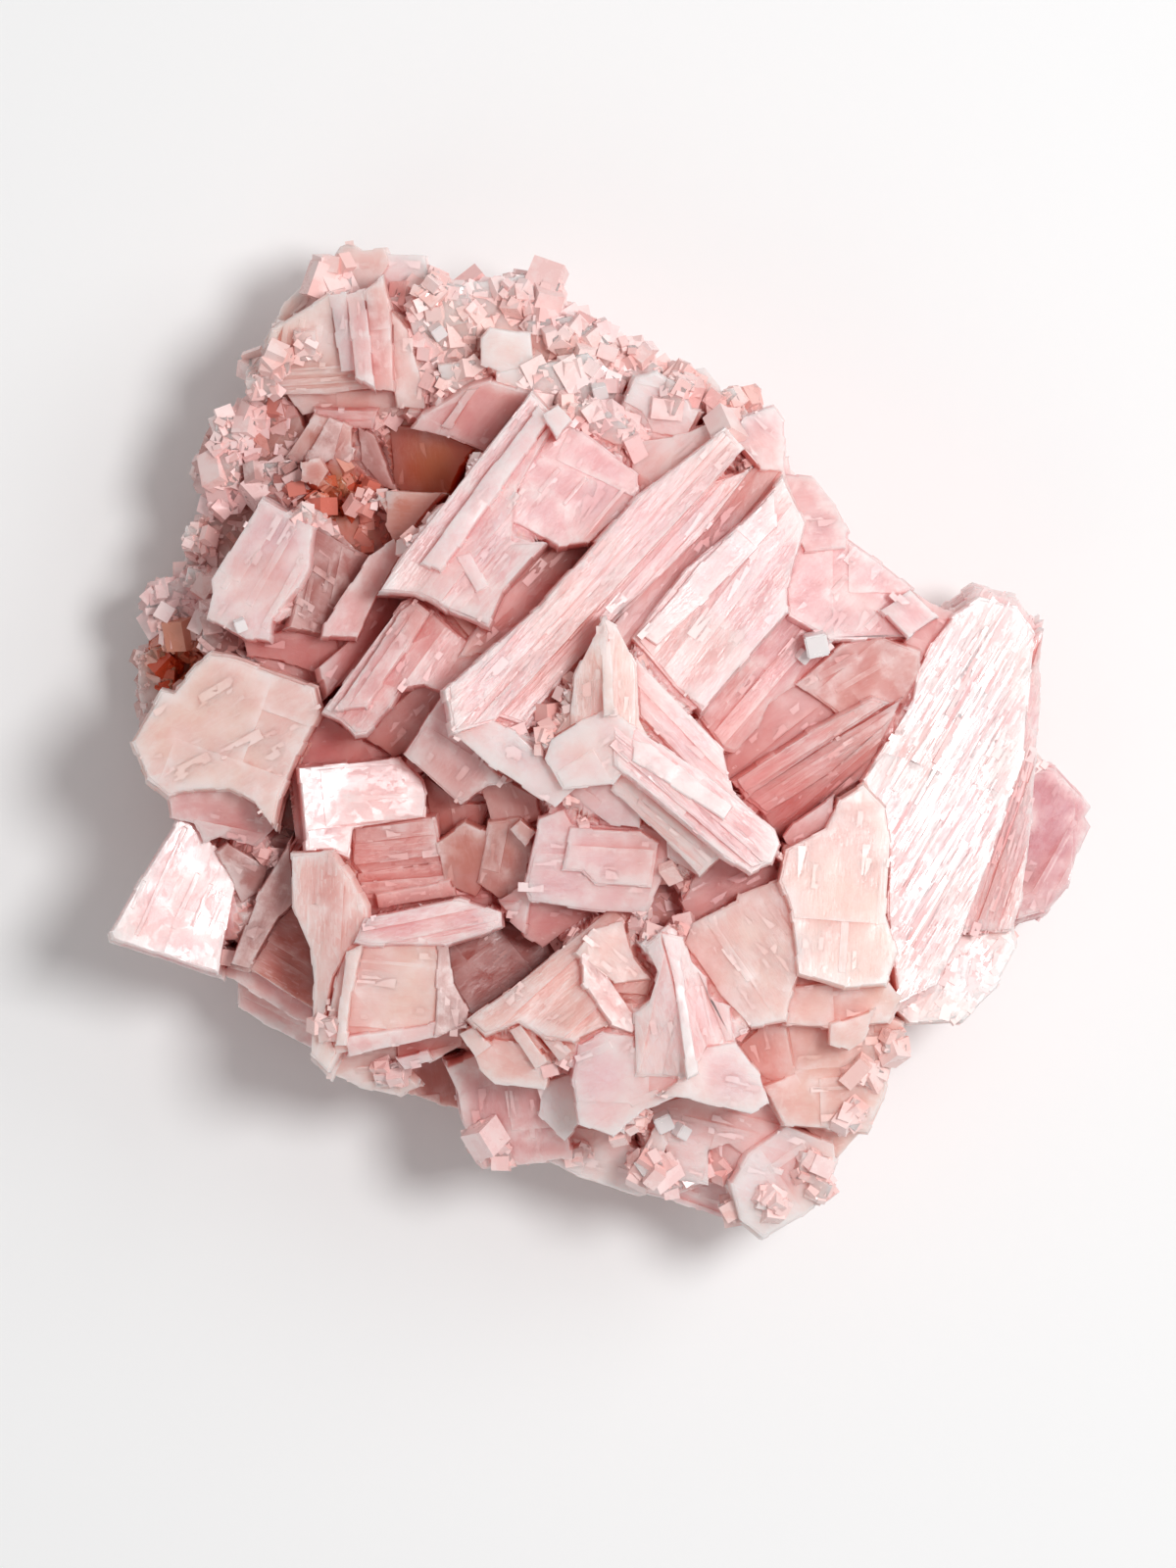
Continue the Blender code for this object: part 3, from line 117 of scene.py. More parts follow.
leftBars = crystalRows(
    ("leftBar", 37.2, 110, 10, (54.3, 40.0), (57.0, 43.0), (53.0, 50.0), (52.2, 55.5), (55.8, 55.5),
     (51.5, 60.5), (50.0, 64.2), (46.0, 62.5), (42.5, 60.8), (38.8, 60.5), (41.0, 57.0)),
    ("leftBarRidge", 38.0, 110, 10, (55.0, 41.5), (56.2, 43.0), (47.0, 56.0), (45.0, 58.5), (43.0, 57.6)),
    ("leftBarFace", 35.4, 50, 12, (56.5, 42.5), (60.0, 44.5), (65.2, 48.5), (65.2, 51.0), (60.0, 55.6),
     (57.0, 56.0), (51.6, 53.0)),
    ("leftBarFloor", 32.0, 50, 24, (57.0, 55.0), (60.5, 55.5), (57.0, 60.0), (50.0, 67.0), (47.0, 67.0),
     (51.0, 59.5)),
    ("leftBarInset", 38.2, 110, 8, (46.6, 57.0), (48.2, 56.6), (50.0, 60.0), (48.6, 60.6)),
    ("clearTip", 38.0, 80, 12, (55.4, 42.6), (57.0, 41.6), (58.4, 43.2), (56.8, 45.0)),
    ("stepBar", 35.2, 115, 9, (42.5, 60.8), (45.3, 63.3), (50.0, 67.4), (46.5, 71.2), (43.5, 70.0),
     (41.0, 70.4), (40.0, 72.3), (37.5, 75.0), (36.3, 75.1), (35.0, 73.7), (32.9, 72.7), (41.0, 61.5)),
    ("stepBarRidge", 36.0, 115, 9, (42.4, 61.3), (44.0, 62.6), (41.5, 66.6), (37.5, 72.3), (34.2, 72.6),
     (41.0, 62.4)),
    ("stepFloor", 31.0, 240, 24, (43.0, 69.5), (47.0, 70.5), (41.8, 76.6), (40.0, 77.4), (37.3, 75.4),
     (40.0, 72.0)),
    ("peachStrip", 33.6, 70, 20, (45.3, 62.0), (50.4, 63.5), (54.5, 61.0), (50.0, 67.6)),
    ("lowBar", 31.0, 60, 12, (37.7, 56.6), (40.2, 54.9), (41.0, 56.5), (38.7, 60.5), (36.5, 65.2),
     (32.9, 65.0), (33.2, 63.5)),
    ("lowBarSide", 29.0, 40, 24, (38.5, 60.0), (41.3, 61.0), (36.0, 68.8), (33.3, 71.2), (32.6, 68.0),
     (36.0, 65.0)),
    ("leftCube", 30.6, 150, 14, (26.7, 50.7), (32.0, 53.8), (31.5, 58.0), (30.5, 60.0), (28.0, 63.0),
     (27.5, 65.5), (25.0, 65.2), (21.0, 63.0), (21.7, 60.5), (21.5, 59.0)),
    ("leftCubeSide", 28.8, 20, 28, (31.8, 53.7), (37.7, 56.6), (35.0, 61.5), (33.0, 64.8), (29.5, 64.0),
     (30.5, 60.0)),
    ("leftRubble", 27.6, 265, 18, (24.5, 64.5), (28.0, 64.6), (31.0, 63.6), (34.2, 65.2), (34.6, 67.5),
     (32.5, 68.9), (29.0, 67.6), (25.0, 67.0)),
    ("leftRubbleLow", 25.4, 285, 16, (24.0, 66.5), (32.5, 68.0), (36.0, 68.0), (34.5, 71.0), (32.8, 73.0),
     (31.5, 70.4)),
)

paleBlocks = crystalRows(
    ("creamBlock", 32.6, 160, 8, (21.5, 66.8), (24.0, 67.2), (32.2, 70.2), (32.8, 72.7), (30.5, 77.0),
     (28.8, 81.0), (28.0, 84.5), (26.2, 82.0), (23.5, 80.5), (19.0, 80.7), (17.2, 81.3), (15.0, 79.5),
     (13.5, 75.7), (16.5, 70.5), (17.7, 70.8), (20.0, 68.0)),
    ("creamFoot", 28.6, 270, 16, (17.0, 80.2), (19.0, 79.5), (26.5, 81.0), (28.2, 84.5), (26.0, 86.6),
     (22.5, 85.5), (20.5, 86.2), (19.8, 84.2), (17.4, 83.5)),
    ("brightCube", 32.4, 20, 10, (30.6, 78.3), (41.0, 77.2), (43.3, 79.5), (43.7, 81.0), (43.5, 83.5),
     (36.2, 84.5), (35.8, 87.6), (34.0, 86.8), (31.3, 86.8)),
    ("brightCubeSide", 29.4, 200, 26, (29.6, 78.3), (31.2, 78.0), (32.0, 87.0), (30.0, 85.8)),
    ("notchFloor", 27.6, 250, 14, (32.7, 72.4), (36.0, 75.0), (40.5, 77.3), (41.0, 78.0), (29.8, 79.0),
     (30.8, 76.0)),
    ("slabUpper", 30.8, 262, 15, (36.0, 84.4), (44.6, 83.4), (45.2, 88.0), (37.0, 89.6), (35.8, 88.0)),
    ("slabLower", 29.8, 266, 18, (36.5, 89.2), (45.0, 87.8), (50.2, 91.0), (50.2, 92.6), (38.3, 93.6),
     (36.4, 91.5)),
    ("slabEdge", 31.0, 266, 14, (38.3, 91.3), (46.0, 89.8), (46.6, 91.4), (38.6, 92.8)),
    ("westCube", 27.6, 15, 10, (18.3, 83.2), (20.5, 84.5), (22.2, 86.8), (24.0, 90.5), (23.3, 93.5),
     (22.2, 99.5), (11.5, 95.8), (11.3, 95.0), (14.5, 89.5)),
    ("shadeLedge", 27.0, 320, 14, (22.0, 87.0), (23.2, 86.0), (27.3, 88.4), (26.5, 91.0), (24.5, 92.2),
     (23.8, 90.5)),
    ("shadeBand", 28.2, 250, 14, (29.6, 85.8), (30.2, 92.0), (28.5, 93.5), (25.3, 99.0), (23.4, 98.5),
     (26.3, 91.0)),
    ("shadeFace", 23.6, 300, 20, (29.7, 92.3), (30.5, 94.0), (32.0, 97.0), (32.2, 100.5), (31.9, 103.5),
     (25.0, 99.0), (28.0, 94.0)),
    ("shadeFoot", 20.0, 258, 22, (23.3, 97.0), (25.5, 97.6), (32.0, 102.0), (32.0, 105.4), (29.0, 104.0),
     (25.0, 101.4), (22.3, 99.6)),
    ("shadeBase", 14.5, 250, 30, (23.7, 99.8), (26.0, 100.6), (29.0, 103.4), (32.0, 105.0), (31.6, 107.8),
     (26.2, 105.0), (23.6, 103.2)),
)

framedCubes = crystalRows(
    ("frameArm", 33.4, 205, 15, (29.7, 87.0), (34.0, 86.8), (36.0, 89.5), (37.5, 92.5), (37.6, 94.5),
     (35.6, 97.0), (34.2, 99.5), (33.2, 104.0), (34.5, 107.5), (33.5, 109.5), (31.6, 107.5), (32.0, 100.5),
     (31.7, 97.0), (29.8, 92.5)),
    ("frameCube", 33.6, 225, 8, (36.0, 94.8), (44.8, 95.5), (45.2, 104.0), (44.5, 105.4), (36.5, 107.0),
     (34.3, 107.5), (33.3, 104.0), (34.3, 99.5)),
    ("frameTop", 35.4, 85, 8, (37.3, 93.5), (47.0, 91.5), (51.2, 93.0), (51.3, 94.5), (49.0, 95.4),
     (45.5, 96.4), (37.8, 96.4), (36.2, 96.0)),
    ("frameRight", 34.8, 350, 10, (44.7, 96.0), (45.9, 96.4), (46.4, 100.0), (48.0, 103.0), (47.7, 104.9),
     (44.4, 105.6)),
    ("frameLeft", 34.6, 200, 10, (35.4, 97.0), (37.2, 96.2), (36.0, 101.0), (35.4, 106.6), (34.2, 106.6)),
    ("frameBottom", 34.2, 265, 16, (35.4, 105.8), (44.6, 104.2), (47.7, 104.4), (44.5, 105.8), (35.6, 107.8)),
    ("frameSkirt", 25.0, 262, 32, (33.4, 109.6), (34.6, 107.0), (41.0, 106.0), (41.2, 109.5), (42.6, 111.2),
     (40.5, 112.2), (36.5, 111.3)),
    ("pocketBack", 27.6, 265, 20, (40.5, 106.4), (47.4, 104.6), (47.0, 107.0), (43.8, 108.6), (40.6, 108.4)),
    ("pocketFloor", 15.5, 270, 26, (40.5, 108.0), (46.5, 107.0), (47.2, 114.1), (44.5, 113.4), (41.0, 112.1)),
    ("spark", 29.0, 255, 10, (40.3, 108.0), (43.6, 107.2), (44.1, 108.3), (41.3, 109.3)),
    ("recessFloor", 28.4, 60, 12, (45.3, 96.0), (51.4, 94.0), (54.0, 95.0), (57.6, 97.0), (52.0, 101.4),
     (48.5, 104.0), (45.8, 102.4)),
)

middleCrystals = crystalRows(
    ("centreCube", 37.0, 265, 9, (55.0, 83.5), (57.5, 82.5), (58.3, 84.0), (66.0, 84.3), (68.3, 85.3),
     (68.0, 89.0), (66.0, 93.2), (60.5, 93.0), (54.0, 92.0), (53.5, 90.5)),
    ("centreStep", 37.8, 265, 9, (58.2, 84.4), (65.4, 84.8), (67.2, 86.0), (66.4, 90.6), (60.6, 90.3),
     (59.4, 88.9), (57.2, 88.8)),
    ("wedge", 32.6, 300, 24, (51.2, 92.2), (54.0, 91.6), (60.8, 92.8), (55.3, 96.8), (53.5, 95.6)),
    ("wedgeWest", 33.4, 200, 20, (50.8, 91.8), (53.3, 90.3), (54.2, 92.0), (53.6, 95.4), (52.0, 94.0)),
    ("rubbleWest", 31.6, 250, 16, (44.5, 86.0), (47.5, 83.8), (50.0, 85.0), (50.5, 88.5), (48.5, 91.6),
     (45.3, 90.2)),
    ("rubbleEast", 32.6, 230, 16, (49.8, 83.8), (53.0, 83.4), (54.8, 84.6), (54.0, 88.0), (53.8, 91.0),
     (51.5, 92.2), (48.6, 90.0)),
    ("rubbleNorth", 33.2, 215, 20, (49.0, 80.0), (52.2, 79.8), (54.8, 81.4), (55.2, 83.6), (52.8, 84.6),
     (50.0, 83.6)),
    ("rubbleDark", 29.2, 240, 18, (43.2, 79.0), (47.0, 81.8), (50.0, 82.0), (49.0, 85.0), (44.0, 85.4)),
    ("rubbleCube", 35.6, 240, 14, (52.0, 84.6), (53.2, 83.6), (54.8, 85.0), (53.6, 86.4)),
    ("combPrism", 35.8, 100, 9, (62.6, 92.2), (64.0, 93.5), (64.0, 96.0), (66.8, 99.8), (66.0, 101.5),
     (63.2, 101.2), (64.8, 104.8), (62.0, 104.6), (58.5, 106.2), (55.5, 105.8), (53.0, 104.2), (49.5, 105.5),
     (47.6, 103.8), (49.0, 102.8), (52.0, 100.8), (57.0, 96.8)),
    ("combHead", 36.6, 60, 12, (60.4, 94.6), (63.6, 93.8), (64.6, 97.4), (66.4, 99.8), (62.6, 100.2),
     (58.6, 97.0)),
    ("combRidge", 37.2, 40, 12, (59.3, 97.2), (60.6, 97.3), (65.2, 104.2), (64.5, 105.2), (62.3, 104.4),
     (59.4, 100.2)),
    ("combBlock", 33.6, 235, 14, (48.4, 107.5), (50.5, 105.8), (55.2, 106.5), (56.4, 108.5), (55.6, 111.2),
     (50.5, 110.6), (49.0, 109.2)),
    ("combTooth1", 34.6, 235, 14, (46.9, 105.4), (48.6, 104.6), (50.2, 106.6), (48.5, 107.8)),
    ("combTooth2", 35.2, 235, 14, (52.0, 105.0), (53.3, 104.4), (56.0, 108.2), (54.6, 109.0)),
    ("combTooth3", 35.6, 235, 14, (54.2, 104.6), (55.6, 104.0), (58.4, 107.2), (57.0, 108.2)),
)

# The two skeletal corners: arms that fall from an apex, each a pair of faces.
skeletalCorners = crystalRows(
    ("upperArmWest", 43.2, 205, 14, (61.5, 63.2), (62.0, 65.0), (62.1, 72.8), (59.5, 73.7), (56.0, 75.6),
     (58.0, 73.0), (58.5, 69.0)),
    ("upperArmEast", 43.0, 0, 13, (61.5, 63.2), (63.0, 64.0), (65.0, 68.0), (65.2, 73.4), (66.6, 76.5),
     (62.0, 72.7), (61.9, 65.0)),
    ("upperRib", 44.6, 90, 8, (61.2, 66.0), (62.3, 65.6), (62.7, 73.0), (61.5, 73.2)),
    ("upperBody", 43.2, 240, 11, (62.1, 72.4), (64.8, 74.5), (64.2, 78.0), (62.5, 80.2), (59.0, 80.5),
     (57.4, 80.6), (55.6, 77.5), (56.3, 75.5), (59.5, 73.5)),
    ("longArm", 43.2, 40, 8, (62.3, 72.6), (66.0, 75.0), (72.0, 79.0), (78.8, 84.5), (79.3, 86.0),
     (78.5, 88.0), (76.3, 89.0), (73.5, 87.3), (65.0, 80.0), (62.6, 78.2)),
    ("longArmRidge", 44.2, 60, 9, (64.5, 75.4), (66.4, 76.0), (74.6, 82.2), (73.6, 83.6), (64.4, 77.6)),
    ("longArmSide", 40.6, 232, 17, (62.8, 78.0), (65.0, 79.6), (73.8, 87.0), (71.2, 89.4), (68.0, 86.0),
     (65.0, 83.2), (62.2, 80.6)),
    ("longArmRim", 40.4, 40, 14, (64.3, 66.4), (66.0, 68.4), (73.8, 76.5), (74.6, 80.5), (77.0, 83.0),
     (75.5, 83.4), (70.0, 78.2), (65.0, 73.0), (64.6, 68.0)),
    ("bodyFoot", 39.0, 250, 16, (57.4, 80.2), (62.5, 79.6), (65.4, 82.5), (65.2, 84.6), (62.2, 84.2),
     (58.2, 81.2)),
    ("armFoot", 38.4, 265, 16, (66.6, 83.6), (70.0, 85.0), (73.6, 87.0), (71.2, 89.5), (68.0, 87.6),
     (68.0, 85.4)),
    ("lowerArmWest", 38.2, 215, 13, (67.4, 94.9), (68.4, 98.5), (69.9, 105.0), (70.4, 109.9), (64.7, 109.7),
     (64.5, 103.2), (66.0, 102.0), (67.0, 99.0), (65.5, 96.2)),
    ("lowerArmEast", 38.0, 355, 13, (67.2, 94.8), (69.7, 95.5), (70.5, 98.0), (72.0, 99.5), (72.2, 101.5),
     (74.5, 102.5), (75.0, 106.4), (72.2, 106.7), (71.0, 109.0), (70.2, 109.9), (69.7, 105.0), (68.2, 98.5)),
    ("lowerRib", 39.4, 90, 7, (68.4, 98.0), (69.4, 97.8), (71.2, 109.2), (70.0, 109.8)),
    ("lowerArmFoot", 37.4, 300, 10, (70.3, 109.0), (72.0, 106.6), (75.0, 106.2), (77.5, 109.5), (78.4, 112.5),
     (76.5, 113.5), (72.0, 112.5), (70.5, 112.0), (67.0, 111.6)),
    ("lowerWing", 36.0, 228, 17, (64.7, 105.6), (65.4, 109.4), (70.6, 109.4), (69.4, 111.6), (66.0, 113.0),
     (62.5, 115.9), (59.0, 114.6), (58.3, 110.0), (59.0, 106.4), (61.5, 105.0)),
)

rightPlates = crystalRows(
    ("plateLeft", 36.4, 120, 8, (69.7, 96.0), (70.5, 94.0), (75.0, 91.8), (75.2, 91.0), (79.5, 89.5),
     (81.3, 92.0), (81.6, 98.5), (80.6, 101.5), (80.0, 104.0), (76.5, 104.6), (73.5, 101.5)),
    ("plateRight", 36.8, 60, 9, (79.3, 89.8), (80.0, 86.5), (84.0, 84.5), (85.5, 81.5), (88.0, 80.0),
     (90.2, 82.5), (90.7, 86.0), (90.2, 93.0), (91.4, 97.0), (90.2, 100.3), (86.0, 100.6), (81.3, 99.2),
     (80.5, 93.0)),
    ("armWedge", 33.0, 290, 20, (71.0, 89.2), (73.8, 87.0), (76.5, 89.0), (79.0, 88.2), (79.8, 89.6),
     (75.2, 91.6), (70.5, 94.2), (69.4, 92.0)),
    ("peachShelf", 33.4, 310, 12, (80.2, 100.5), (86.0, 100.0), (90.6, 100.0), (92.0, 102.0), (90.5, 104.4),
     (84.0, 104.8), (80.0, 104.6)),
    ("peachCube", 33.6, 300, 12, (84.6, 104.4), (89.3, 102.9), (88.2, 106.0), (86.5, 107.2), (84.6, 106.6)),
    ("peachWest", 30.0, 250, 20, (75.2, 106.8), (78.5, 104.0), (80.2, 104.4), (81.2, 109.7), (79.0, 110.4),
     (77.6, 109.8)),
    ("peachBlock", 28.4, 320, 16, (80.0, 104.2), (90.0, 103.6), (92.4, 104.6), (91.2, 108.5), (90.2, 112.5),
     (88.7, 115.8), (84.5, 115.4), (80.0, 115.0), (77.9, 110.8), (81.0, 109.6)),
    ("peachFoot", 24.0, 320, 24, (84.0, 109.0), (90.6, 106.5), (92.5, 105.0), (90.6, 109.5), (90.0, 112.0),
     (88.0, 116.0), (85.6, 118.6), (82.0, 115.0)),
    ("cornerCube", 24.4, 300, 16, (76.3, 118.0), (80.5, 115.0), (85.3, 117.0), (85.5, 119.2), (84.5, 122.5),
     (82.0, 124.5), (78.0, 126.8), (75.6, 124.8), (74.6, 121.0)),
    ("cornerSide", 23.2, 215, 24, (72.4, 117.0), (74.6, 116.2), (77.0, 118.0), (76.2, 125.2), (73.9, 121.0)),
    ("greatPlate", 30.6, 15, 10, (97.5, 62.5), (100.0, 60.8), (104.0, 61.8), (105.8, 64.6), (105.2, 70.0),
     (104.6, 77.5), (101.0, 88.0), (98.0, 95.5), (95.5, 100.5), (91.6, 102.4), (91.0, 98.0), (90.4, 93.0),
     (90.6, 86.5), (88.0, 79.5), (93.0, 71.5), (93.7, 68.0), (95.0, 65.5)),
    ("greatStep", 26.4, 350, 20, (106.8, 64.0), (106.3, 68.0), (106.5, 70.0), (106.0, 77.5), (105.6, 84.0),
     (104.6, 92.0), (103.5, 95.2), (97.6, 95.4), (100.0, 88.0), (103.6, 76.0), (104.2, 66.0)),
    ("greatFoot", 25.6, 15, 9, (91.6, 99.0), (96.0, 95.4), (103.6, 95.0), (103.9, 97.0), (101.8, 101.0),
     (98.5, 104.3), (93.0, 104.5), (91.4, 103.0)),
    ("mauveBlock", 17.6, 0, 20, (105.2, 77.8), (108.5, 78.5), (111.0, 81.2), (112.1, 82.5), (111.3, 83.5),
     (112.0, 84.5), (110.8, 87.0), (109.8, 90.5), (107.5, 93.2), (104.2, 94.0), (104.8, 86.0)),
)

recessCrystals = crystalRows(
    ("shoulderKnob", 32.0, 60, 18, (80.0, 48.4), (83.0, 48.7), (85.2, 51.5), (86.5, 54.0), (86.2, 56.0),
     (82.0, 56.4), (80.5, 53.6), (78.9, 51.0)),
    ("shoulder", 32.4, 40, 13, (80.6, 55.0), (86.4, 55.0), (90.0, 57.5), (93.0, 60.0), (91.5, 61.5),
     (89.8, 62.2), (92.5, 65.0), (87.0, 65.4), (84.5, 65.3), (80.3, 62.9), (80.0, 59.0)),
    ("shoulderQuad", 33.6, 60, 11, (92.8, 60.2), (95.7, 63.0), (92.5, 65.2), (89.6, 62.2)),
    ("shoulderEnd", 29.4, 30, 20, (92.6, 59.8), (96.5, 62.2), (98.0, 62.6), (95.2, 65.8), (93.6, 68.0),
     (92.0, 65.0), (95.0, 62.9)),
    ("innerFace", 31.6, 330, 18, (80.2, 62.2), (84.6, 65.0), (85.8, 66.4), (81.0, 70.2), (78.6, 71.8),
     (77.4, 74.4), (75.0, 77.0), (73.6, 76.6), (71.2, 73.0), (75.6, 67.6)),
    ("innerBlock", 31.0, 290, 14, (81.0, 69.8), (86.0, 65.6), (90.0, 65.0), (94.0, 66.5), (93.9, 68.6),
     (92.2, 71.9), (86.0, 73.4), (85.0, 72.6)),
    ("innerFloor", 29.8, 300, 8, (77.5, 72.0), (81.0, 69.4), (86.0, 72.6), (80.0, 77.4), (75.4, 81.0),
     (73.9, 80.0), (73.9, 77.0)),
    ("railUpper", 31.8, 300, 10, (74.6, 79.7), (83.0, 74.3), (89.0, 71.2), (90.7, 71.8), (84.0, 76.2),
     (76.0, 81.7)),
    ("railMiddle", 30.8, 300, 10, (75.8, 81.3), (84.0, 76.0), (92.2, 71.2), (91.0, 73.7), (84.5, 79.2),
     (78.0, 83.3)),
    ("railLower", 29.6, 290, 20, (77.6, 83.0), (84.5, 78.8), (91.0, 73.3), (88.6, 79.2), (84.8, 81.7),
     (81.5, 83.9), (79.7, 86.0), (78.4, 84.6)),
    ("railWedge", 34.2, 250, 11, (80.9, 84.0), (85.0, 81.2), (84.9, 84.0), (80.5, 86.6), (79.8, 85.4)),
    ("clearNub", 33.2, 80, 10, (82.1, 65.6), (83.6, 64.4), (85.0, 65.4), (83.8, 66.9), (82.6, 66.6)),
)

crownCrystals = crystalRows(
    ("crownFace", 26.0, 255, 11, (27.5, 33.5), (32.5, 30.5), (33.6, 29.8), (34.8, 37.4), (26.3, 37.8)),
    ("crownBand", 24.6, 264, 22, (26.2, 37.4), (36.5, 36.8), (38.7, 39.4), (33.0, 40.1), (26.6, 40.1),
     (25.8, 39.3)),
    ("crownRib1", 27.0, 200, 12, (33.4, 29.8), (35.4, 29.6), (36.2, 37.6), (34.6, 37.8)),
    ("crownRib2", 28.0, 100, 8, (35.2, 29.8), (37.2, 29.2), (38.2, 39.6), (36.2, 38.4)),
    ("crownRib3", 27.2, 240, 9, (37.0, 29.4), (39.0, 28.0), (39.9, 31.5), (40.1, 39.9), (38.0, 39.6)),
    ("crownLip", 22.2, 265, 18, (29.0, 39.8), (40.0, 39.2), (40.6, 41.5), (40.0, 42.2), (32.0, 41.7),
     (30.5, 42.1)),
    ("crownEast", 25.0, 280, 12, (39.9, 31.6), (41.5, 33.6), (42.9, 38.5), (43.4, 41.7), (40.3, 41.4),
     (39.8, 38.5)),
    ("crownKnob", 20.6, 95, 12, (32.7, 27.5), (34.5, 24.5), (35.5, 24.0), (36.5, 24.8), (39.0, 24.6),
     (39.5, 26.5), (37.5, 29.8), (33.2, 30.6)),
    ("crownWest", 18.6, 150, 22, (28.6, 30.0), (31.5, 27.3), (33.6, 28.5), (32.5, 31.2), (28.5, 33.8),
     (26.8, 37.0), (26.4, 34.0)),
    ("crownKnobEast", 20.8, 95, 12, (38.8, 25.2), (43.2, 25.4), (43.9, 28.5), (43.6, 30.6), (41.0, 31.0),
     (38.8, 29.6)),
    ("crustWest", 25.0, 270, 10, (41.2, 31.0), (44.0, 28.6), (47.5, 29.0), (48.8, 32.0), (48.4, 36.0),
     (45.5, 37.8), (42.5, 36.0)),
    ("crustDrop", 26.2, 270, 14, (44.6, 37.0), (48.5, 36.6), (50.0, 38.8), (47.0, 40.5), (45.0, 39.5)),
    ("clearCube", 28.4, 265, 9, (49.0, 34.5), (50.0, 33.4), (54.2, 34.0), (54.6, 37.6), (51.0, 38.1),
     (49.0, 37.2)),
    ("crustNorth", 23.6, 80, 14, (47.5, 28.4), (53.5, 27.6), (57.0, 29.6), (57.4, 33.0), (53.0, 34.6),
     (48.2, 34.0)),
    ("crustRed", 25.4, 260, 12, (53.6, 32.6), (58.6, 32.0), (58.6, 36.2), (54.2, 37.2)),
    ("crustMiddle", 28.0, 265, 10, (54.2, 37.2), (60.0, 36.0), (63.4, 39.0), (62.0, 42.6), (58.5, 42.0),
     (54.4, 40.2), (50.6, 39.4), (50.6, 37.8)),
    ("crustEast", 25.6, 60, 16, (58.4, 32.0), (62.0, 32.6), (64.6, 35.0), (67.8, 37.4), (64.6, 39.4),
     (59.6, 37.0)),
    ("crustLedge", 32.4, 270, 14, (57.2, 41.6), (61.0, 41.2), (64.8, 44.3), (65.0, 46.0), (62.5, 45.4),
     (58.6, 43.6)),
    ("whiteChunk", 30.6, 255, 9, (64.8, 38.5), (67.0, 38.0), (69.5, 39.5), (70.5, 41.8), (71.5, 42.0),
     (70.0, 44.9), (66.5, 44.1), (65.5, 42.0), (63.6, 41.0)),
    ("chunkEast", 24.0, 60, 18, (68.6, 37.6), (72.0, 37.2), (73.5, 39.0), (73.9, 40.7), (72.5, 42.8),
     (69.6, 41.0)),
    ("chunkFoot", 25.6, 60, 18, (72.6, 40.4), (75.5, 40.7), (76.6, 42.2), (74.6, 44.4), (71.8, 43.0)),
    ("chunkFloor", 31.2, 110, 14, (64.4, 45.0), (70.0, 44.2), (73.5, 42.6), (74.4, 43.6), (70.0, 48.4),
     (65.5, 50.8), (64.4, 48.2)),
    ("roof", 27.4, 250, 18, (43.0, 42.2), (48.0, 39.3), (50.0, 38.8), (54.2, 40.1), (49.5, 46.1),
     (46.0, 44.6), (41.8, 43.6)),
    ("roofRib1", 28.2, 250, 18, (47.6, 39.8), (48.8, 39.6), (46.0, 43.8), (44.9, 43.4)),
    ("fan1", 23.2, 240, 14, (31.8, 42.0), (33.6, 42.6), (31.3, 47.0), (28.5, 46.8)),
    ("fan2", 23.8, 280, 12, (33.4, 42.4), (34.9, 43.0), (33.8, 46.7), (31.4, 48.0), (30.9, 46.6)),
    ("fan3", 23.4, 250, 12, (34.8, 42.8), (35.8, 43.4), (35.9, 46.7), (34.2, 49.0), (33.0, 47.2)),
    ("fan4", 22.6, 250, 14, (36.4, 43.2), (38.0, 44.2), (40.4, 49.9), (38.5, 49.3), (36.6, 46.8)),
    ("fanTop", 22.8, 262, 18, (31.8, 41.4), (38.4, 41.6), (37.8, 43.6), (34.0, 43.4), (32.0, 43.0)),
    ("fanCube", 26.0, 250, 10, (30.5, 47.0), (32.5, 46.5), (33.3, 48.0), (32.3, 49.6), (30.5, 48.9)),
    ("hollowStep", 28.2, 185, 20, (39.3, 50.0), (45.2, 50.3), (41.6, 54.4), (40.0, 55.4), (39.2, 53.4)),
    ("hollowWall", 22.0, 200, 26, (39.4, 43.0), (44.0, 43.4), (48.4, 45.6), (47.0, 47.2), (45.4, 50.6),
     (42.5, 50.2), (40.0, 49.6)),
)

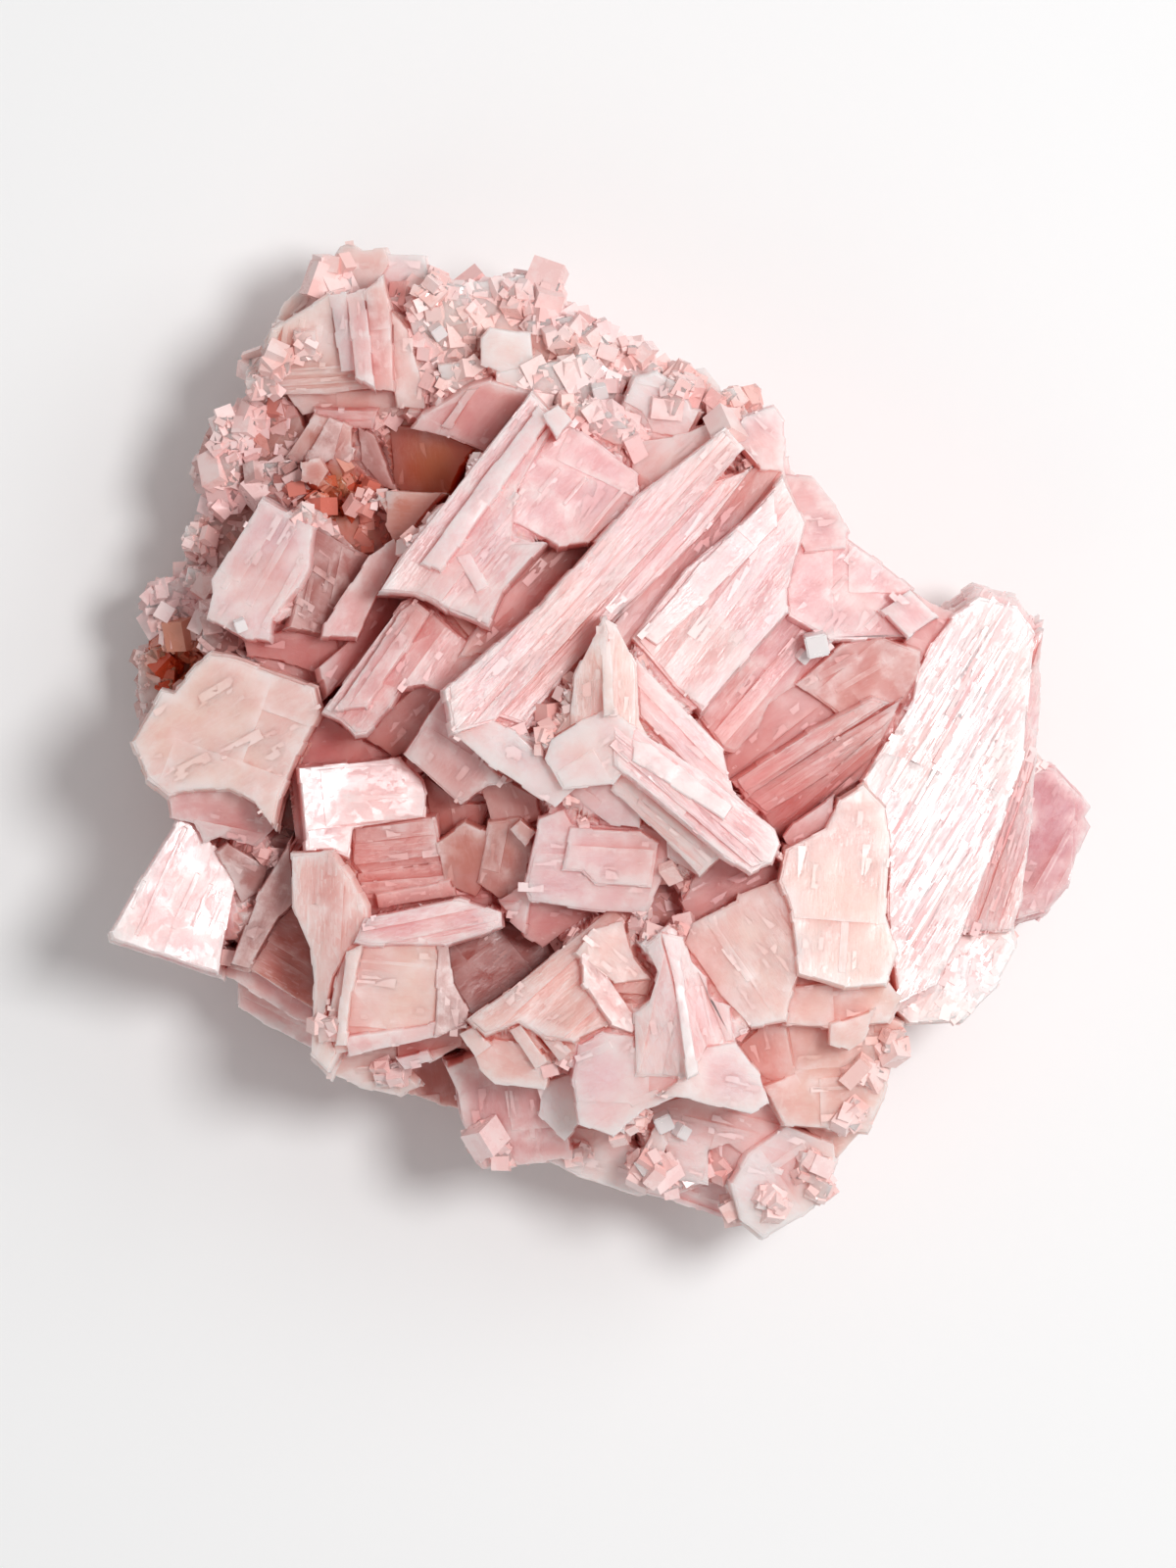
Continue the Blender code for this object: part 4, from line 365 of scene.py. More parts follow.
westCrust = crystalRows(
    ("westLump", 20.4, 150, 20, (22.0, 44.0), (24.5, 41.7), (27.0, 40.3), (30.0, 40.8), (31.0, 44.0),
     (28.2, 47.4), (25.0, 47.4), (22.5, 46.0)),
    ("westLumpLow", 16.6, 190, 22, (20.0, 45.8), (22.5, 44.2), (24.8, 47.5), (25.5, 49.6), (22.0, 51.2),
     (20.2, 49.4), (19.3, 48.0)),
    ("westBlade", 19.6, 190, 18, (22.3, 45.9), (24.8, 47.5), (25.5, 50.2), (22.5, 52.4), (20.7, 51.7),
     (20.8, 49.0)),
    ("westFace", 18.0, 160, 22, (20.3, 52.3), (24.0, 50.8), (26.6, 50.8), (24.5, 54.8), (23.0, 58.0),
     (21.5, 59.6), (19.7, 57.2), (18.9, 54.5)),
    ("westFloor", 22.4, 200, 16, (25.0, 47.0), (30.0, 46.8), (31.0, 50.0), (28.0, 51.8), (26.2, 51.4),
     (24.6, 50.4)),
    ("westFibres", 17.4, 190, 20, (15.0, 59.7), (18.5, 58.2), (19.8, 57.3), (21.8, 59.5), (21.7, 61.0),
     (20.8, 63.2), (20.2, 66.0), (17.8, 66.0), (15.5, 64.5), (14.0, 62.0)),
    ("westKnot", 12.0, 205, 22, (13.1, 66.5), (15.7, 65.6), (17.2, 68.0), (16.6, 71.0), (14.0, 75.2),
     (13.0, 69.8)),
    ("westShelf", 25.0, 215, 20, (20.6, 62.6), (24.8, 65.0), (24.6, 67.4), (21.5, 67.0), (20.0, 66.2)),
)

southCrust = crystalRows(
    ("southBlock", 24.4, 262, 22, (45.4, 109.0), (48.5, 107.8), (50.5, 110.4), (55.5, 111.0), (57.8, 112.0),
     (58.4, 118.6), (55.0, 119.1), (49.2, 119.7), (48.5, 119.0), (47.0, 114.2), (46.7, 112.0)),
    ("southGap", 26.6, 250, 20, (55.2, 110.6), (58.5, 109.6), (59.3, 114.5), (57.6, 116.8), (54.8, 114.0)),
    ("southSlab", 20.4, 262, 28, (57.5, 114.8), (62.5, 115.6), (66.0, 118.4), (67.4, 121.6), (65.0, 122.6),
     (59.0, 120.6), (56.2, 119.0)),
    ("southBand", 16.4, 262, 32, (64.8, 119.0), (70.0, 120.2), (74.5, 121.4), (75.9, 124.9), (74.0, 125.2),
     (69.0, 123.4), (64.8, 122.4)),
    ("southNub", 26.0, 250, 14, (65.5, 117.5), (67.0, 114.8), (68.2, 117.0), (67.2, 119.8), (65.0, 119.6)),
    ("southFloor", 25.0, 285, 14, (66.2, 112.8), (70.5, 111.8), (76.0, 113.2), (79.6, 112.4), (80.4, 115.0),
     (76.6, 118.6), (74.5, 117.0), (72.4, 117.6), (72.4, 121.4), (68.5, 120.6), (67.6, 116.0)),
)

crystals = (longBars + leftBars + paleBlocks + framedCubes + middleCrystals + skeletalCorners + rightPlates
            + recessCrystals + crownCrystals + westCrust + southCrust)

# The edge of the whole cluster in plan, clockwise from its furthest point back.
rimLine = (
    (35.0, 24.3), (43.2, 25.4), (45.5, 27.0), (51.5, 27.0), (57.0, 28.1), (60.8, 30.5), (64.0, 32.5),
    (66.8, 34.8), (71.8, 37.1), (73.8, 40.0), (78.5, 41.5), (80.2, 44.5), (83.0, 48.7), (86.4, 54.0),
    (90.0, 57.5), (96.0, 62.0), (100.0, 60.8), (106.8, 64.0), (106.5, 70.0), (106.0, 77.5), (111.0, 81.2),
    (112.0, 84.5), (109.8, 90.5), (107.5, 93.2), (104.0, 97.0), (101.8, 101.0), (98.5, 104.3),
    (92.5, 104.5), (90.5, 109.5), (90.0, 112.0), (88.0, 116.0), (85.5, 119.0), (84.5, 122.5),
    (78.0, 126.8), (75.7, 125.0), (69.0, 123.2), (59.0, 120.5), (55.0, 119.0), (49.2, 119.6),
    (47.0, 114.0), (40.5, 112.2), (36.5, 111.3), (31.5, 107.5), (26.0, 105.0), (23.5, 100.0),
    (18.0, 98.5), (11.3, 95.0), (18.3, 83.2), (13.5, 75.7), (14.5, 73.5), (13.0, 68.0), (14.0, 61.8),
    (19.7, 57.0), (18.8, 54.7), (20.8, 49.3), (19.7, 46.0), (24.5, 41.5), (27.3, 40.5), (25.8, 39.5),
    (27.2, 33.0), (29.0, 29.7), (33.5, 25.8),
)
# Pits that go down into the massive salt: height of the floor, mm of small crystals in it, and outline.
pitTop = 60.0
pits = (
    ("pitRed", 9.0, 14.0, ((33.2, 52.6), (38.6, 51.2), (40.4, 54.6), (37.6, 57.2))),
    ("pitBrown", 12.0, 8.0, ((43.0, 44.6), (47.6, 45.8), (47.4, 49.0), (43.4, 51.0))),
    ("pitWest", 7.0, 6.0, ((16.4, 65.6), (20.6, 65.6), (21.2, 67.6), (17.2, 70.4), (15.8, 68.8))),
    ("pitGap", 16.0, 13.0, ((66.4, 89.8), (69.2, 89.9), (69.5, 93.0), (66.1, 95.6))),
    ("pitCream", 14.0, 10.0, ((27.0, 85.0), (29.4, 80.6), (30.0, 85.4), (28.4, 88.0))),
)
# Spots in the hollows that get red-orange painted shade: place on the plan, height, and how far it reaches.
hollowShadeSpots = (
    ((37.0, 54.0), 13.0, 5.5), ((45.5, 47.5), 16.0, 4.5), ((34.0, 50.5), 20.0, 3.5),
    ((18.0, 67.5), 12.0, 4.0),
)

# Where the crystals differ in colour and gloss. A name in tintOf or glossOf may be the start of several,
# and the longest that fits a crystal counts.
# The three darkest tints are painted shade, laid on crystals that lie in shade, in recesses and in the
# hollows.
tints = {
    "milk": (0.93, 0.74, 0.75), "pale": (0.89, 0.65, 0.67), "pink": (0.85, 0.57, 0.59),
    "cream": (0.85, 0.63, 0.59), "peach": (0.87, 0.59, 0.54), "rose": (0.79, 0.44, 0.44),
    "mauve": (0.70, 0.37, 0.41), "crust": (0.90, 0.55, 0.52), "ember": (0.60, 0.20, 0.13),
    "dusk": (0.58, 0.24, 0.20), "flesh": (0.72, 0.37, 0.35), "bloom": (0.97, 0.75, 0.74),
    "petal": (0.82, 0.50, 0.52), "snow": (0.98, 0.85, 0.86), "shadow": (0.42, 0.15, 0.13),
}
tintOf = {
    "longBar": "pale", "longBarEnd": "rose", "longBarLip": "milk", "broadBar": "pale", "broadBarStep": "pink",
    "grooveFloor": "pale", "leftBar": "pale", "leftBarFloor": "milk", "leftBarFace": "petal",
    "stepBar": "rose", "stepFloor": "flesh", "peachStrip": "cream", "lowBar": "rose", "leftCube": "pale",
    "leftCubeSide": "shadow", "leftRubble": "rose", "leftRubbleLow": "milk", "clearCube": "snow",
    "cream": "cream", "creamFoot": "rose", "notchFloor": "petal", "slab": "rose", "shade": "dusk",
    "shadeLedge": "shadow", "shadeBand": "shadow", "shadeBase": "rose", "shadeFoot": "rose", "frame": "cream",
    "frameTop": "pink", "frameRight": "shadow", "frameBottom": "rose", "pocket": "flesh",
    "pocketFloor": "dusk", "recessFloor": "shadow", "wedge": "rose", "rubble": "dusk", "rubbleNorth": "flesh",
    "rubbleDark": "flesh", "comb": "peach", "combRidge": "flesh", "upper": "cream", "upperBody": "milk",
    "longArm": "pale", "longArmRidge": "milk", "longArmSide": "snow", "lower": "milk", "lowerWing": "pale",
    "plate": "cream", "arm": "pale", "peach": "peach", "corner": "snow", "great": "pale", "greatFoot": "snow",
    "greatStep": "pink", "mauve": "mauve", "shoulder": "petal", "shoulderEnd": "rose", "inner": "petal",
    "innerBlock": "flesh", "rail": "rose", "crown": "cream", "crownKnobEast": "milk", "crownRib1": "pale",
    "crownRib2": "rose", "crownRib3": "flesh", "crust": "bloom", "crustMiddle": "snow", "southGap": "snow",
    "whiteChunk": "snow", "chunk": "bloom", "roof": "rose", "fan": "dusk", "fan2": "shadow", "fan4": "shadow",
    "fanTop": "rose", "hollow": "ember", "west": "dusk", "westBlade": "rose", "westFloor": "shadow",
    "westShelf": "shadow", "westCube": "pale", "westFibres": "rose", "south": "bloom", "southBlock": "rose",
    "southBand": "pale",
}
glossOf = {
    "greatPlate": 0.72, "greatFoot": 0.8, "westCube": 1.0, "brightCube": 1.0, "mauve": 0.7, "slab": 0.6,
    "greatStep": 0.6, "crust": 0.15, "west": 0.15, "south": 0.3, "fan": 0.2, "plate": 0.3,
}

growth = {
    "seed": 23,
    "run": (1.6, 4.2),  # mm, how long an edge runs between two growth steps
    "firstRun": (0.4, 1.0),  # the same before its first step, as a share of the least run
    "lastRun": 0.9,  # mm, the least run after its last step
    "jog": (0.05, 0.18),  # mm, how far a step sets the edge in
    "stayIn": 0.6,  # the chance that the next step goes in as well
    "slope": (0.09, 0.14),  # mm along the edge that a step takes, and the last one back out
    "bevel": ((0.0, -0.07), (0.09, 0.0), (1.6, 0.08)),  # (fall, how far out) in mm round the edge
    "bevelWidth": 6.0,  # mm; a narrower crystal has a smaller bevel
    "sideStep": 3.2,  # mm between the ledges round a side
    "ledgeArea": 9.0,  # mm2, the least face with ledges under it
    "ledgeCount": (0.7, 1.3),  # how much their number varies
    "ledgeBand": (0.05, 0.95),  # the part of the side that they are on
    "ledgeGap": 0.04,  # the least share of the side between two
    "ledgeTop": 2.0,  # mm, the least depth of one
    "ledgeFall": 0.006,  # the share of the side that one slopes over
    "plateArea": 70.0,  # mm2 of face for each thin plate grown on it
    "plateMost": 4,
    "plateCut": (0.2, 0.75),  # the share of the face's reach at which a plate starts
    "plateCutAgain": (0.15, 0.5),  # the same across it, for half of them
    "plateRise": (0.06, 0.17),  # mm
    "plateInset": 0.18,  # mm, how far a plate keeps in from the edge of its face
    "plateDraw": 0.1,  # mm that it is drawn in besides
    "plateLeast": 0.25,  # mm2
    "plateDepth": 2.0,  # mm
    "stripSway": 0.3,  # how far the lines between strips stray, as a share of a strip
    "stripLap": 0.1,  # mm that neighbours overlap
    "stripDraw": 0.06,  # mm
    "stripLeast": 0.4,  # mm2
    "stripTilt": (4, 12),  # degrees that a grooved crystal's strips lean to either side
    "stripRise": (0.05, 0.45),  # mm
    "stripDepth": 3.0,  # mm
    "ridgeArea": 60.0,  # mm2 of face for each ridge where ridgesOf has no number
    "ridgePlace": (0.15, 0.75),  # where in its share of the width a ridge lies
    "ridgeWidth": (0.3, 0.8),  # mm
    "ridgeRise": (0.05, 0.18),  # mm
    "ridgeLeast": 2.0,  # mm, the shortest
    "ridgeEnds": (0.03, 0.45),  # the share of its length left free at either end
}
# How many ridges lie along a face, and their heading in degrees where it isn't that of its longest edge.
ridgesOf = {
    "greatPlate": (46, 58), "greatFoot": (9, 58), "greatStep": (7, 72), "longBar": (7, None),
    "broadBar": (6, None), "longBarLedge": (4, None), "leftBar": (6, None), "leftBarFace": (4, 50),
    "stepBar": (4, None), "grooveFloor": (4, None), "leftBarFloor": (4, None), "railUpper": (3, None),
    "railMiddle": (3, None), "railLower": (4, None), "innerFace": (3, None), "innerBlock": (3, 30),
    "longArm": (4, None), "longArmSide": (4, None), "slabUpper": (3, None), "slabLower": (4, None),
    "frameTop": (3, None), "crownFace": (5, 82), "crownBand": (3, None), "westCube": (7, 66),
    "brightCube": (4, 4), "frameArm": (4, None), "upperArmWest": (3, None), "upperArmEast": (3, None),
    "lowerArmWest": (3, None), "lowerArmEast": (3, None), "lowerWing": (4, 25), "combPrism": (6, 42),
    "plateLeft": (3, None), "plateRight": (3, None), "shoulder": (3, 48), "mauveBlock": (5, 60),
    "shadeFace": (4, None), "southBand": (3, None), "creamBlock": (3, 30), "leftCube": (3, 60),
    "leftCubeSide": (3, None), "frameSkirt": (4, None),
}

striated = ("greatPlate", "greatStep")
sparkling = ("greatFoot",)
# Grooved crystals: how many strips lie side by side along them, and their heading where it is given.
stripsOf = {
    "longBar": (5, None), "longBarLedge": (4, None), "broadBar": (5, None), "leftBar": (4, None),
    "stepBar": (4, None), "grooveFloor": (3, None), "longArm": (4, None), "upperArmWest": (3, None),
    "upperArmEast": (3, None), "lowerArmWest": (3, 78), "lowerArmEast": (3, 112), "railUpper": (3, None),
    "railMiddle": (3, None), "railLower": (4, None), "slabUpper": (3, None), "slabLower": (4, None),
    "frameTop": (3, None), "innerFace": (3, None), "leftBarFloor": (3, None), "longArmSide": (3, None),
    "combPrism": (5, 42), "shadeFace": (4, None), "frameArm": (3, None), "longArmRim": (2, None),
    "crownBand": (3, None), "greatStep": (5, 70), "fanTop": (3, None),
}


def listed(table, name, otherwise):
    # the entry whose key is the longest start of the name
    keys = [key for key in table if name.startswith(key)]
    return table[max(keys, key=len)] if keys else otherwise


def onPlan(corner):
    return Vector((corner[0] - planMiddle[0], planMiddle[1] - corner[1], 0.0))


def edgesOf(points):
    return zip(points, points[1:] + points[:1])


def middleOf(points):
    return sum(points, Vector()) / len(points)


def areaOf(points):
    return sum(start.cross(end).z for start, end in edgesOf(points)) / 2


def outlineOf(corners):
    # anticlockwise from above
    points = [onPlan(corner) for corner in corners]
    return points if areaOf(points) > 0 else points[::-1]


def leftOf(way):
    return Vector((-way.y, way.x, 0))


def extentOf(points, middle, way):
    # how far the points reach from the middle, backwards and forwards along way
    reach = [(p - middle).dot(way) for p in points]
    return min(reach), max(reach)


def groundUnder(tree, place):
    # the spot, normal, face and distance of the ground below a place in mm
    return tree.ray_cast(Vector((place.x, place.y, skyLevel)) * mm, Vector((0, 0, -1)))


def placed(name, data):
    obj = bpy.data.objects.new(name, data)
    bpy.context.scene.collection.objects.link(obj)
    return obj


def evaluatedMesh(obj):
    return bpy.data.meshes.new_from_object(obj.evaluated_get(bpy.context.evaluated_depsgraph_get()))


def readOut(items, field, width, kind=np.float32):
    values = np.empty(len(items) * width, kind)
    items.foreach_get(field, values)
    return values.reshape(-1, width)


def upOf(lean):
    towards, by = (math.radians(angle) for angle in lean)
    return Vector((math.sin(by) * math.cos(towards), math.sin(by) * math.sin(towards), math.cos(by)))


rim = [onPlan(corner) for corner in rimLine]


def depthOf(crystal, points):
    depth = crystal.height - footLevel
    width = math.sqrt(areaOf(points))
    for start, end in edgesOf(rim):
        for point in points:
            nearest, share = geometry.intersect_point_line(point, start, end)
            if 0 <= share <= 1 and (point - nearest).length < rimBand:
                depth = min(depth, width)
    return max(leastDepth, depth)


# Faces that belong to no crystal carry one of these instead of a crystal's number.
druseOwner, flankOwner, bedOwner = -1, -2, -3
sideOwner, upperOwner = 0, 1  # and those of the plain prisms, one of these


class Bodies:
    # the closed shapes that will be joined, and which crystal each face belongs to

    def __init__(self, group):
        self.group = group
        self.points, self.faces, self.owners = [], [], []

    def add(self, name, rings, owner):
        # rings run from the top to the foot, each anticlockwise from above
        count = len(rings[0])
        points = [point * mm for ring in rings for point in ring]
        faces = [tuple(range(count))]
        for level in range(len(rings) - 1):
            top, low = level * count, (level + 1) * count
            faces += [(top + k, low + k, low + (k + 1) % count, top + (k + 1) % count) for k in range(count)]
        faces.append(tuple(reversed(range(len(points) - count, len(points)))))
        self.link(name, points, faces, owner)

    def addBlock(self, name, size, middle, turn, owner):
        signs = ((1, 1), (-1, 1), (-1, -1), (1, -1))
        rings = [[middle + turn @ Vector((a * size[0] / 2, b * size[1] / 2, z * size[2] / 2))
                  for a, b in signs] for z in (1, -1)]
        self.add(name, rings, owner)

    def link(self, name, points, faces, owner):
        mesh = bpy.data.meshes.new(name)
        mesh.from_pydata(points, [], faces)
        bm = bmesh.new()
        bm.from_mesh(mesh)
        bmesh.ops.triangulate(bm, faces=bm.faces)  # so that the Boolean leaves no face with a hole in it
        bm.to_mesh(mesh)
        bm.free()
        self.group.objects.link(bpy.data.objects.new(name, mesh))
        start = len(self.points)
        self.points += points
        self.faces += [[start + k for k in face] for face in faces]
        self.owners += [owner] * len(faces)

    def tree(self):
        return BVHTree.FromPolygons(self.points, self.faces)

    def upperFaces(self):
        # the crystals' upper faces alone
        faces = [face for face, owner in zip(self.faces, self.owners) if owner == upperOwner]
        return BVHTree.FromPolygons(self.points, faces)


def outwardsOf(points):
    # how each corner moves for its two edges to move out by one
    ways = []
    for before, point, after in zip(points[-1:] + points[:-1], points, points[1:] + points[:1]):
        first, second = (point - before).normalized(), (after - point).normalized()
        first, second = Vector((first.y, -first.x, 0)), Vector((second.y, -second.x, 0))
        ways.append((first + second) / max(0.75, 1 + first.dot(second)))
    return ways


def offset(points, by):
    return [point + way * by for point, way in zip(points, outwardsOf(points))]


def prismRings(points, middle, height, up, depth, widen, steps=(), ways=None, bevel=0.0):
    # steps are the shares of the depth at which the side sets out in a ledge
    rise = up.to_2d() / up.z
    top = [Vector((p.x, p.y, height - rise.dot((p - middle).to_2d()))) for p in points]
    centre = Vector((middle.x, middle.y, height))
    down = Vector((up.x * sway, up.y * sway, up.z)) * depth
    rings = [top]
    if ways:
        rings = [[p + way * out * bevel - up * fall * bevel for p, way in zip(top, ways)]
                 for fall, out in growth["bevel"]]
        top = [p + way * growth["bevel"][-1][1] * bevel for p, way in zip(top, ways)]
    shares = [0.0, *steps, 1.0]
    for k in range(1, len(shares) - 1):
        if shares[k] * depth < growth["ledgeTop"]:
            continue
        before = 1 + (widen - 1) * (shares[k - 1] + shares[k]) / 2
        after = 1 + (widen - 1) * (shares[k] + shares[k + 1]) / 2
        foot = shares[k] + growth["ledgeFall"]
        for share, scale in ((shares[k], 1.0 if k == 1 else before), (foot, after)):
            rings.append([centre + (p - centre) * scale - down * share for p in top])
    rings.append([centre + (p - centre) * widen - down for p in top])
    return rings


def steppedEdge(points, rng):
    # each long edge is broken into runs that step in and out; also says which way is outwards
    made, ways = [], []
    slope, lastSlope = growth["slope"]
    for (start, end), way in zip(edgesOf(points), outwardsOf(points)):
        length = (end - start).length
        along = (end - start) / length
        inward = leftOf(along)
        made.append(start)
        at, inset = rng.uniform(*growth["firstRun"]) * growth["run"][0], 0.0
        while at < length - growth["lastRun"]:
            made.append(start + along * at + inward * inset)
            inset = rng.uniform(*growth["jog"]) if inset == 0 or rng.random() < growth["stayIn"] else 0.0
            made.append(start + along * (at + slope) + inward * inset)
            at += rng.uniform(*growth["run"])
        if inset:
            made.append(end - along * lastSlope + inward * inset)
        ways += [way] + [-inward] * (len(made) - len(ways) - 1)
    return made, ways


def clipped(points, start, side):
    # the part of an outline beyond a line through start, on the way that side points
    kept = []
    for a, b in edgesOf(points):
        here, there = (a - start).dot(side), (b - start).dot(side)
        if here >= 0:
            kept.append(a)
        if (here >= 0) != (there >= 0):
            kept.append(a.lerp(b, here / (here - there)))
    return kept


def shrunk(points, inset):
    centre = middleOf(points)
    reach = math.sqrt(abs(areaOf(points)))
    return [centre + (p - centre) * max(0.3, 1 - 2 * inset / max(reach, 0.1)) for p in points]


def headingOf(points, given=None):
    if given is not None:
        angle = math.radians(given)
        return Vector((math.cos(angle), math.sin(angle), 0))
    return max((b - a for a, b in edgesOf(points)), key=lambda edge: edge.length).normalized()


def growCrystal(bodies, crystal, owner, rng):
    points = outlineOf(crystal.corners)
    middle = middleOf(points)
    up = upOf(crystal.lean)
    depth = depthOf(crystal, points)
    area = areaOf(points)
    count = int(depth / growth["sideStep"] * rng.uniform(*growth["ledgeCount"]))
    count = count if area > growth["ledgeArea"] else 0
    steps = sorted(rng.uniform(*growth["ledgeBand"]) for _ in range(count))
    steps = [share for k, share in enumerate(steps) if k == 0 or share - steps[k - 1] > growth["ledgeGap"]]
    edge, ways = steppedEdge(points, rng)
    bevel = min(1.0, math.sqrt(area) / growth["bevelWidth"])
    bodies.add(crystal.name,
               prismRings(edge, middle, crystal.height, up, depth, flare, steps, ways, bevel), owner)
    points = offset(points, -growth["plateInset"] * bevel)

    def addPlate(name, outline, rise):
        if len(outline) < 3 or areaOf(outline) < growth["plateLeast"]:
            return
        level = crystal.height + rise
        bodies.add(name, prismRings(outline, middle, level, up, growth["plateDepth"], 1.0), owner)

    def cutAcross(outline, side, shares):
        low, high = extentOf(outline, middle, side)
        return clipped(outline, middle + side * (low + (high - low) * rng.uniform(*shares)), side)

    def between(outline, way, low, high):
        # the band of an outline between two distances from the middle
        return clipped(clipped(outline, middle + way * low, way), middle + way * high, -way)

    heading = headingOf(points)
    across = leftOf(heading)
    for k in range(min(growth["plateMost"], int(area / growth["plateArea"] + rng.random()))):
        side = rng.choice((heading, -heading, across, -across))
        part = cutAcross(points, side, growth["plateCut"])
        if rng.random() < 0.5 and len(part) > 2:
            side = across if abs(side.dot(heading)) > 0.5 else heading
            side = side * rng.choice((1, -1))
            part = cutAcross(part, side, growth["plateCutAgain"])
        if len(part) > 2:
            addPlate(f"{crystal.name}Plate{k}", shrunk(part, growth["plateDraw"]),
                     rng.uniform(*growth["plateRise"]))

    number, given = stripsOf.get(crystal.name, (0, None))
    heading = headingOf(points, given)
    across = leftOf(heading)
    low, high = extentOf(points, middle, across)
    stray = growth["stripSway"]
    marks = [low + (high - low) * (k + (rng.uniform(-stray, stray) if 0 < k < number else 0)) / max(number, 1)
             for k in range(number + 1)]
    for k in range(number):
        strip = between(points, across, marks[k] - growth["stripLap"], marks[k + 1] + growth["stripLap"])
        if len(strip) < 3 or areaOf(strip) < growth["stripLeast"]:
            continue
        strip = shrunk(strip, growth["stripDraw"])
        centre = middleOf(strip)
        level = crystal.height - (up.to_2d() / up.z).dot((centre - middle).to_2d())
        tilt = math.radians(rng.uniform(*growth["stripTilt"])) * (-1) ** k
        leaning = (up + across * math.tan(tilt)).normalized()
        level += rng.uniform(*growth["stripRise"])
        bodies.add(f"{crystal.name}Strip{k}",
                   prismRings(strip, centre, level, leaning, growth["stripDepth"], 1.0), owner)

    number, given = ridgesOf.get(crystal.name, (int(area / growth["ridgeArea"]), None))
    heading = headingOf(points, given)
    across = leftOf(heading)
    low, high = extentOf(points, middle, across)
    for k in range(number):
        start = low + (high - low) * (k + rng.uniform(*growth["ridgePlace"])) / number
        width = rng.uniform(*growth["ridgeWidth"])
        strip = between(points, across, start, start + width)
        if len(strip) < 3:
            continue
        first, last = extentOf(strip, middle, heading)
        length = last - first
        if length < growth["ridgeLeast"]:
            continue
        first += length * rng.uniform(*growth["ridgeEnds"])
        last -= length * rng.uniform(*growth["ridgeEnds"])
        strip = between(strip, heading, first, last)
        if len(strip) > 2:
            addPlate(f"{crystal.name}Ridge{k}", strip, rng.uniform(*growth["ridgeRise"]))


# The massive salt under the crystals: (height, share of the rim's reach) of each ring of its side.
bed = {
    "side": ((-2.0, 0.80), (3.0, 0.88), (11.0, 0.93)),
    "top": (0.92, 0.78, 0.5),  # the same share for each ring of its top
    "keepOut": 1.2,  # mm, how far it stays inside the rim
    "crevice": 4.0,  # mm, how far its top stays below the crystals around
    "probe": 2.5,  # mm, how far around it looks for them
    "rough": 0.035,  # how unevenly its side stands out
    "fineTop": (8, 92),  # points for each stretch of the rim, and rings, once the top is rubble
    # mm: how far the rubble looks, how far below it stays, how rough it is
    "fill": ((0.9, 0.28, 0.1), (2.2, 0.7, 0.5), (4.5, 1.6, 1.2)),
    "lumps": 0.6,  # to the millimetre
    "atRim": (0.84, 0.08, 2.5),  # the share of the reach where it begins to fall, over how much, and mm
    "waves": 0.11,  # to the millimetre
    "heart": 0.04,  # mm, the least reach
    "centre": 0.004,  # the share that is added to each ring of the rubble
}


def levelsAround(spot, ground, probe):
    levels = []
    for step in ((0, 0), (1, 0), (-1, 0), (0, 1), (0, -1)):
        place = groundUnder(ground, Vector((spot.x + step[0] * probe, spot.y + step[1] * probe, 0)))[0]
        if place is not None:
            levels.append(place.z / mm)
    return levels


def bedLevel(spot, share, ground, fine):
    foot = bed["side"][-1][0]
    if not fine:
        return max(foot, min(levelsAround(spot, ground, bed["probe"]), default=0.0) - bed["crevice"])
    for probe, crevice, rough in bed["fill"]:
        levels = levelsAround(spot, ground, probe)
        if levels:
            lump = 0.3 - abs(noise.noise(Vector((spot.x, spot.y, 3)) * bed["lumps"]))
            begin, over, fall = bed["atRim"]
            atRim = max(0.0, (share - begin) / over) * fall
            return max(foot, min(levels) - crevice - atRim + min(crevice, rough * lump * 2))
    return foot


def bedShape(ground, fine):
    points, faces = [], []
    edge, top = rim, bed["top"]
    if fine:
        across, rings = bed["fineTop"]
        edge = [a.lerp(b, k / across) for a, b in edgesOf(rim) for k in range(across)]
        top = [top[0] * (1 - k / rings) + bed["centre"] for k in range(rings)]
    levels = [*bed["side"], *((None, share) for share in top)]
    for height, share in levels:
        for point in edge:
            wave = noise.noise(Vector((point.x * bed["waves"], point.y * bed["waves"], share * 4)))
            rough = 1 + bed["rough"] * 2 * wave
            spot = point.normalized() * max(bed["heart"], point.length * share * rough - bed["keepOut"])
            spot.z = bedLevel(spot, share, ground, fine) if height is None else height
            points.append(spot * mm)
    count = len(edge)
    for level in range(len(levels) - 1):
        low, high = level * count, (level + 1) * count
        faces += [(low + k, high + k, high + (k + 1) % count, low + (k + 1) % count) for k in range(count)]
    faces += [tuple(range(count)), tuple(reversed(range(len(points) - count, len(points))))]
    return points, faces


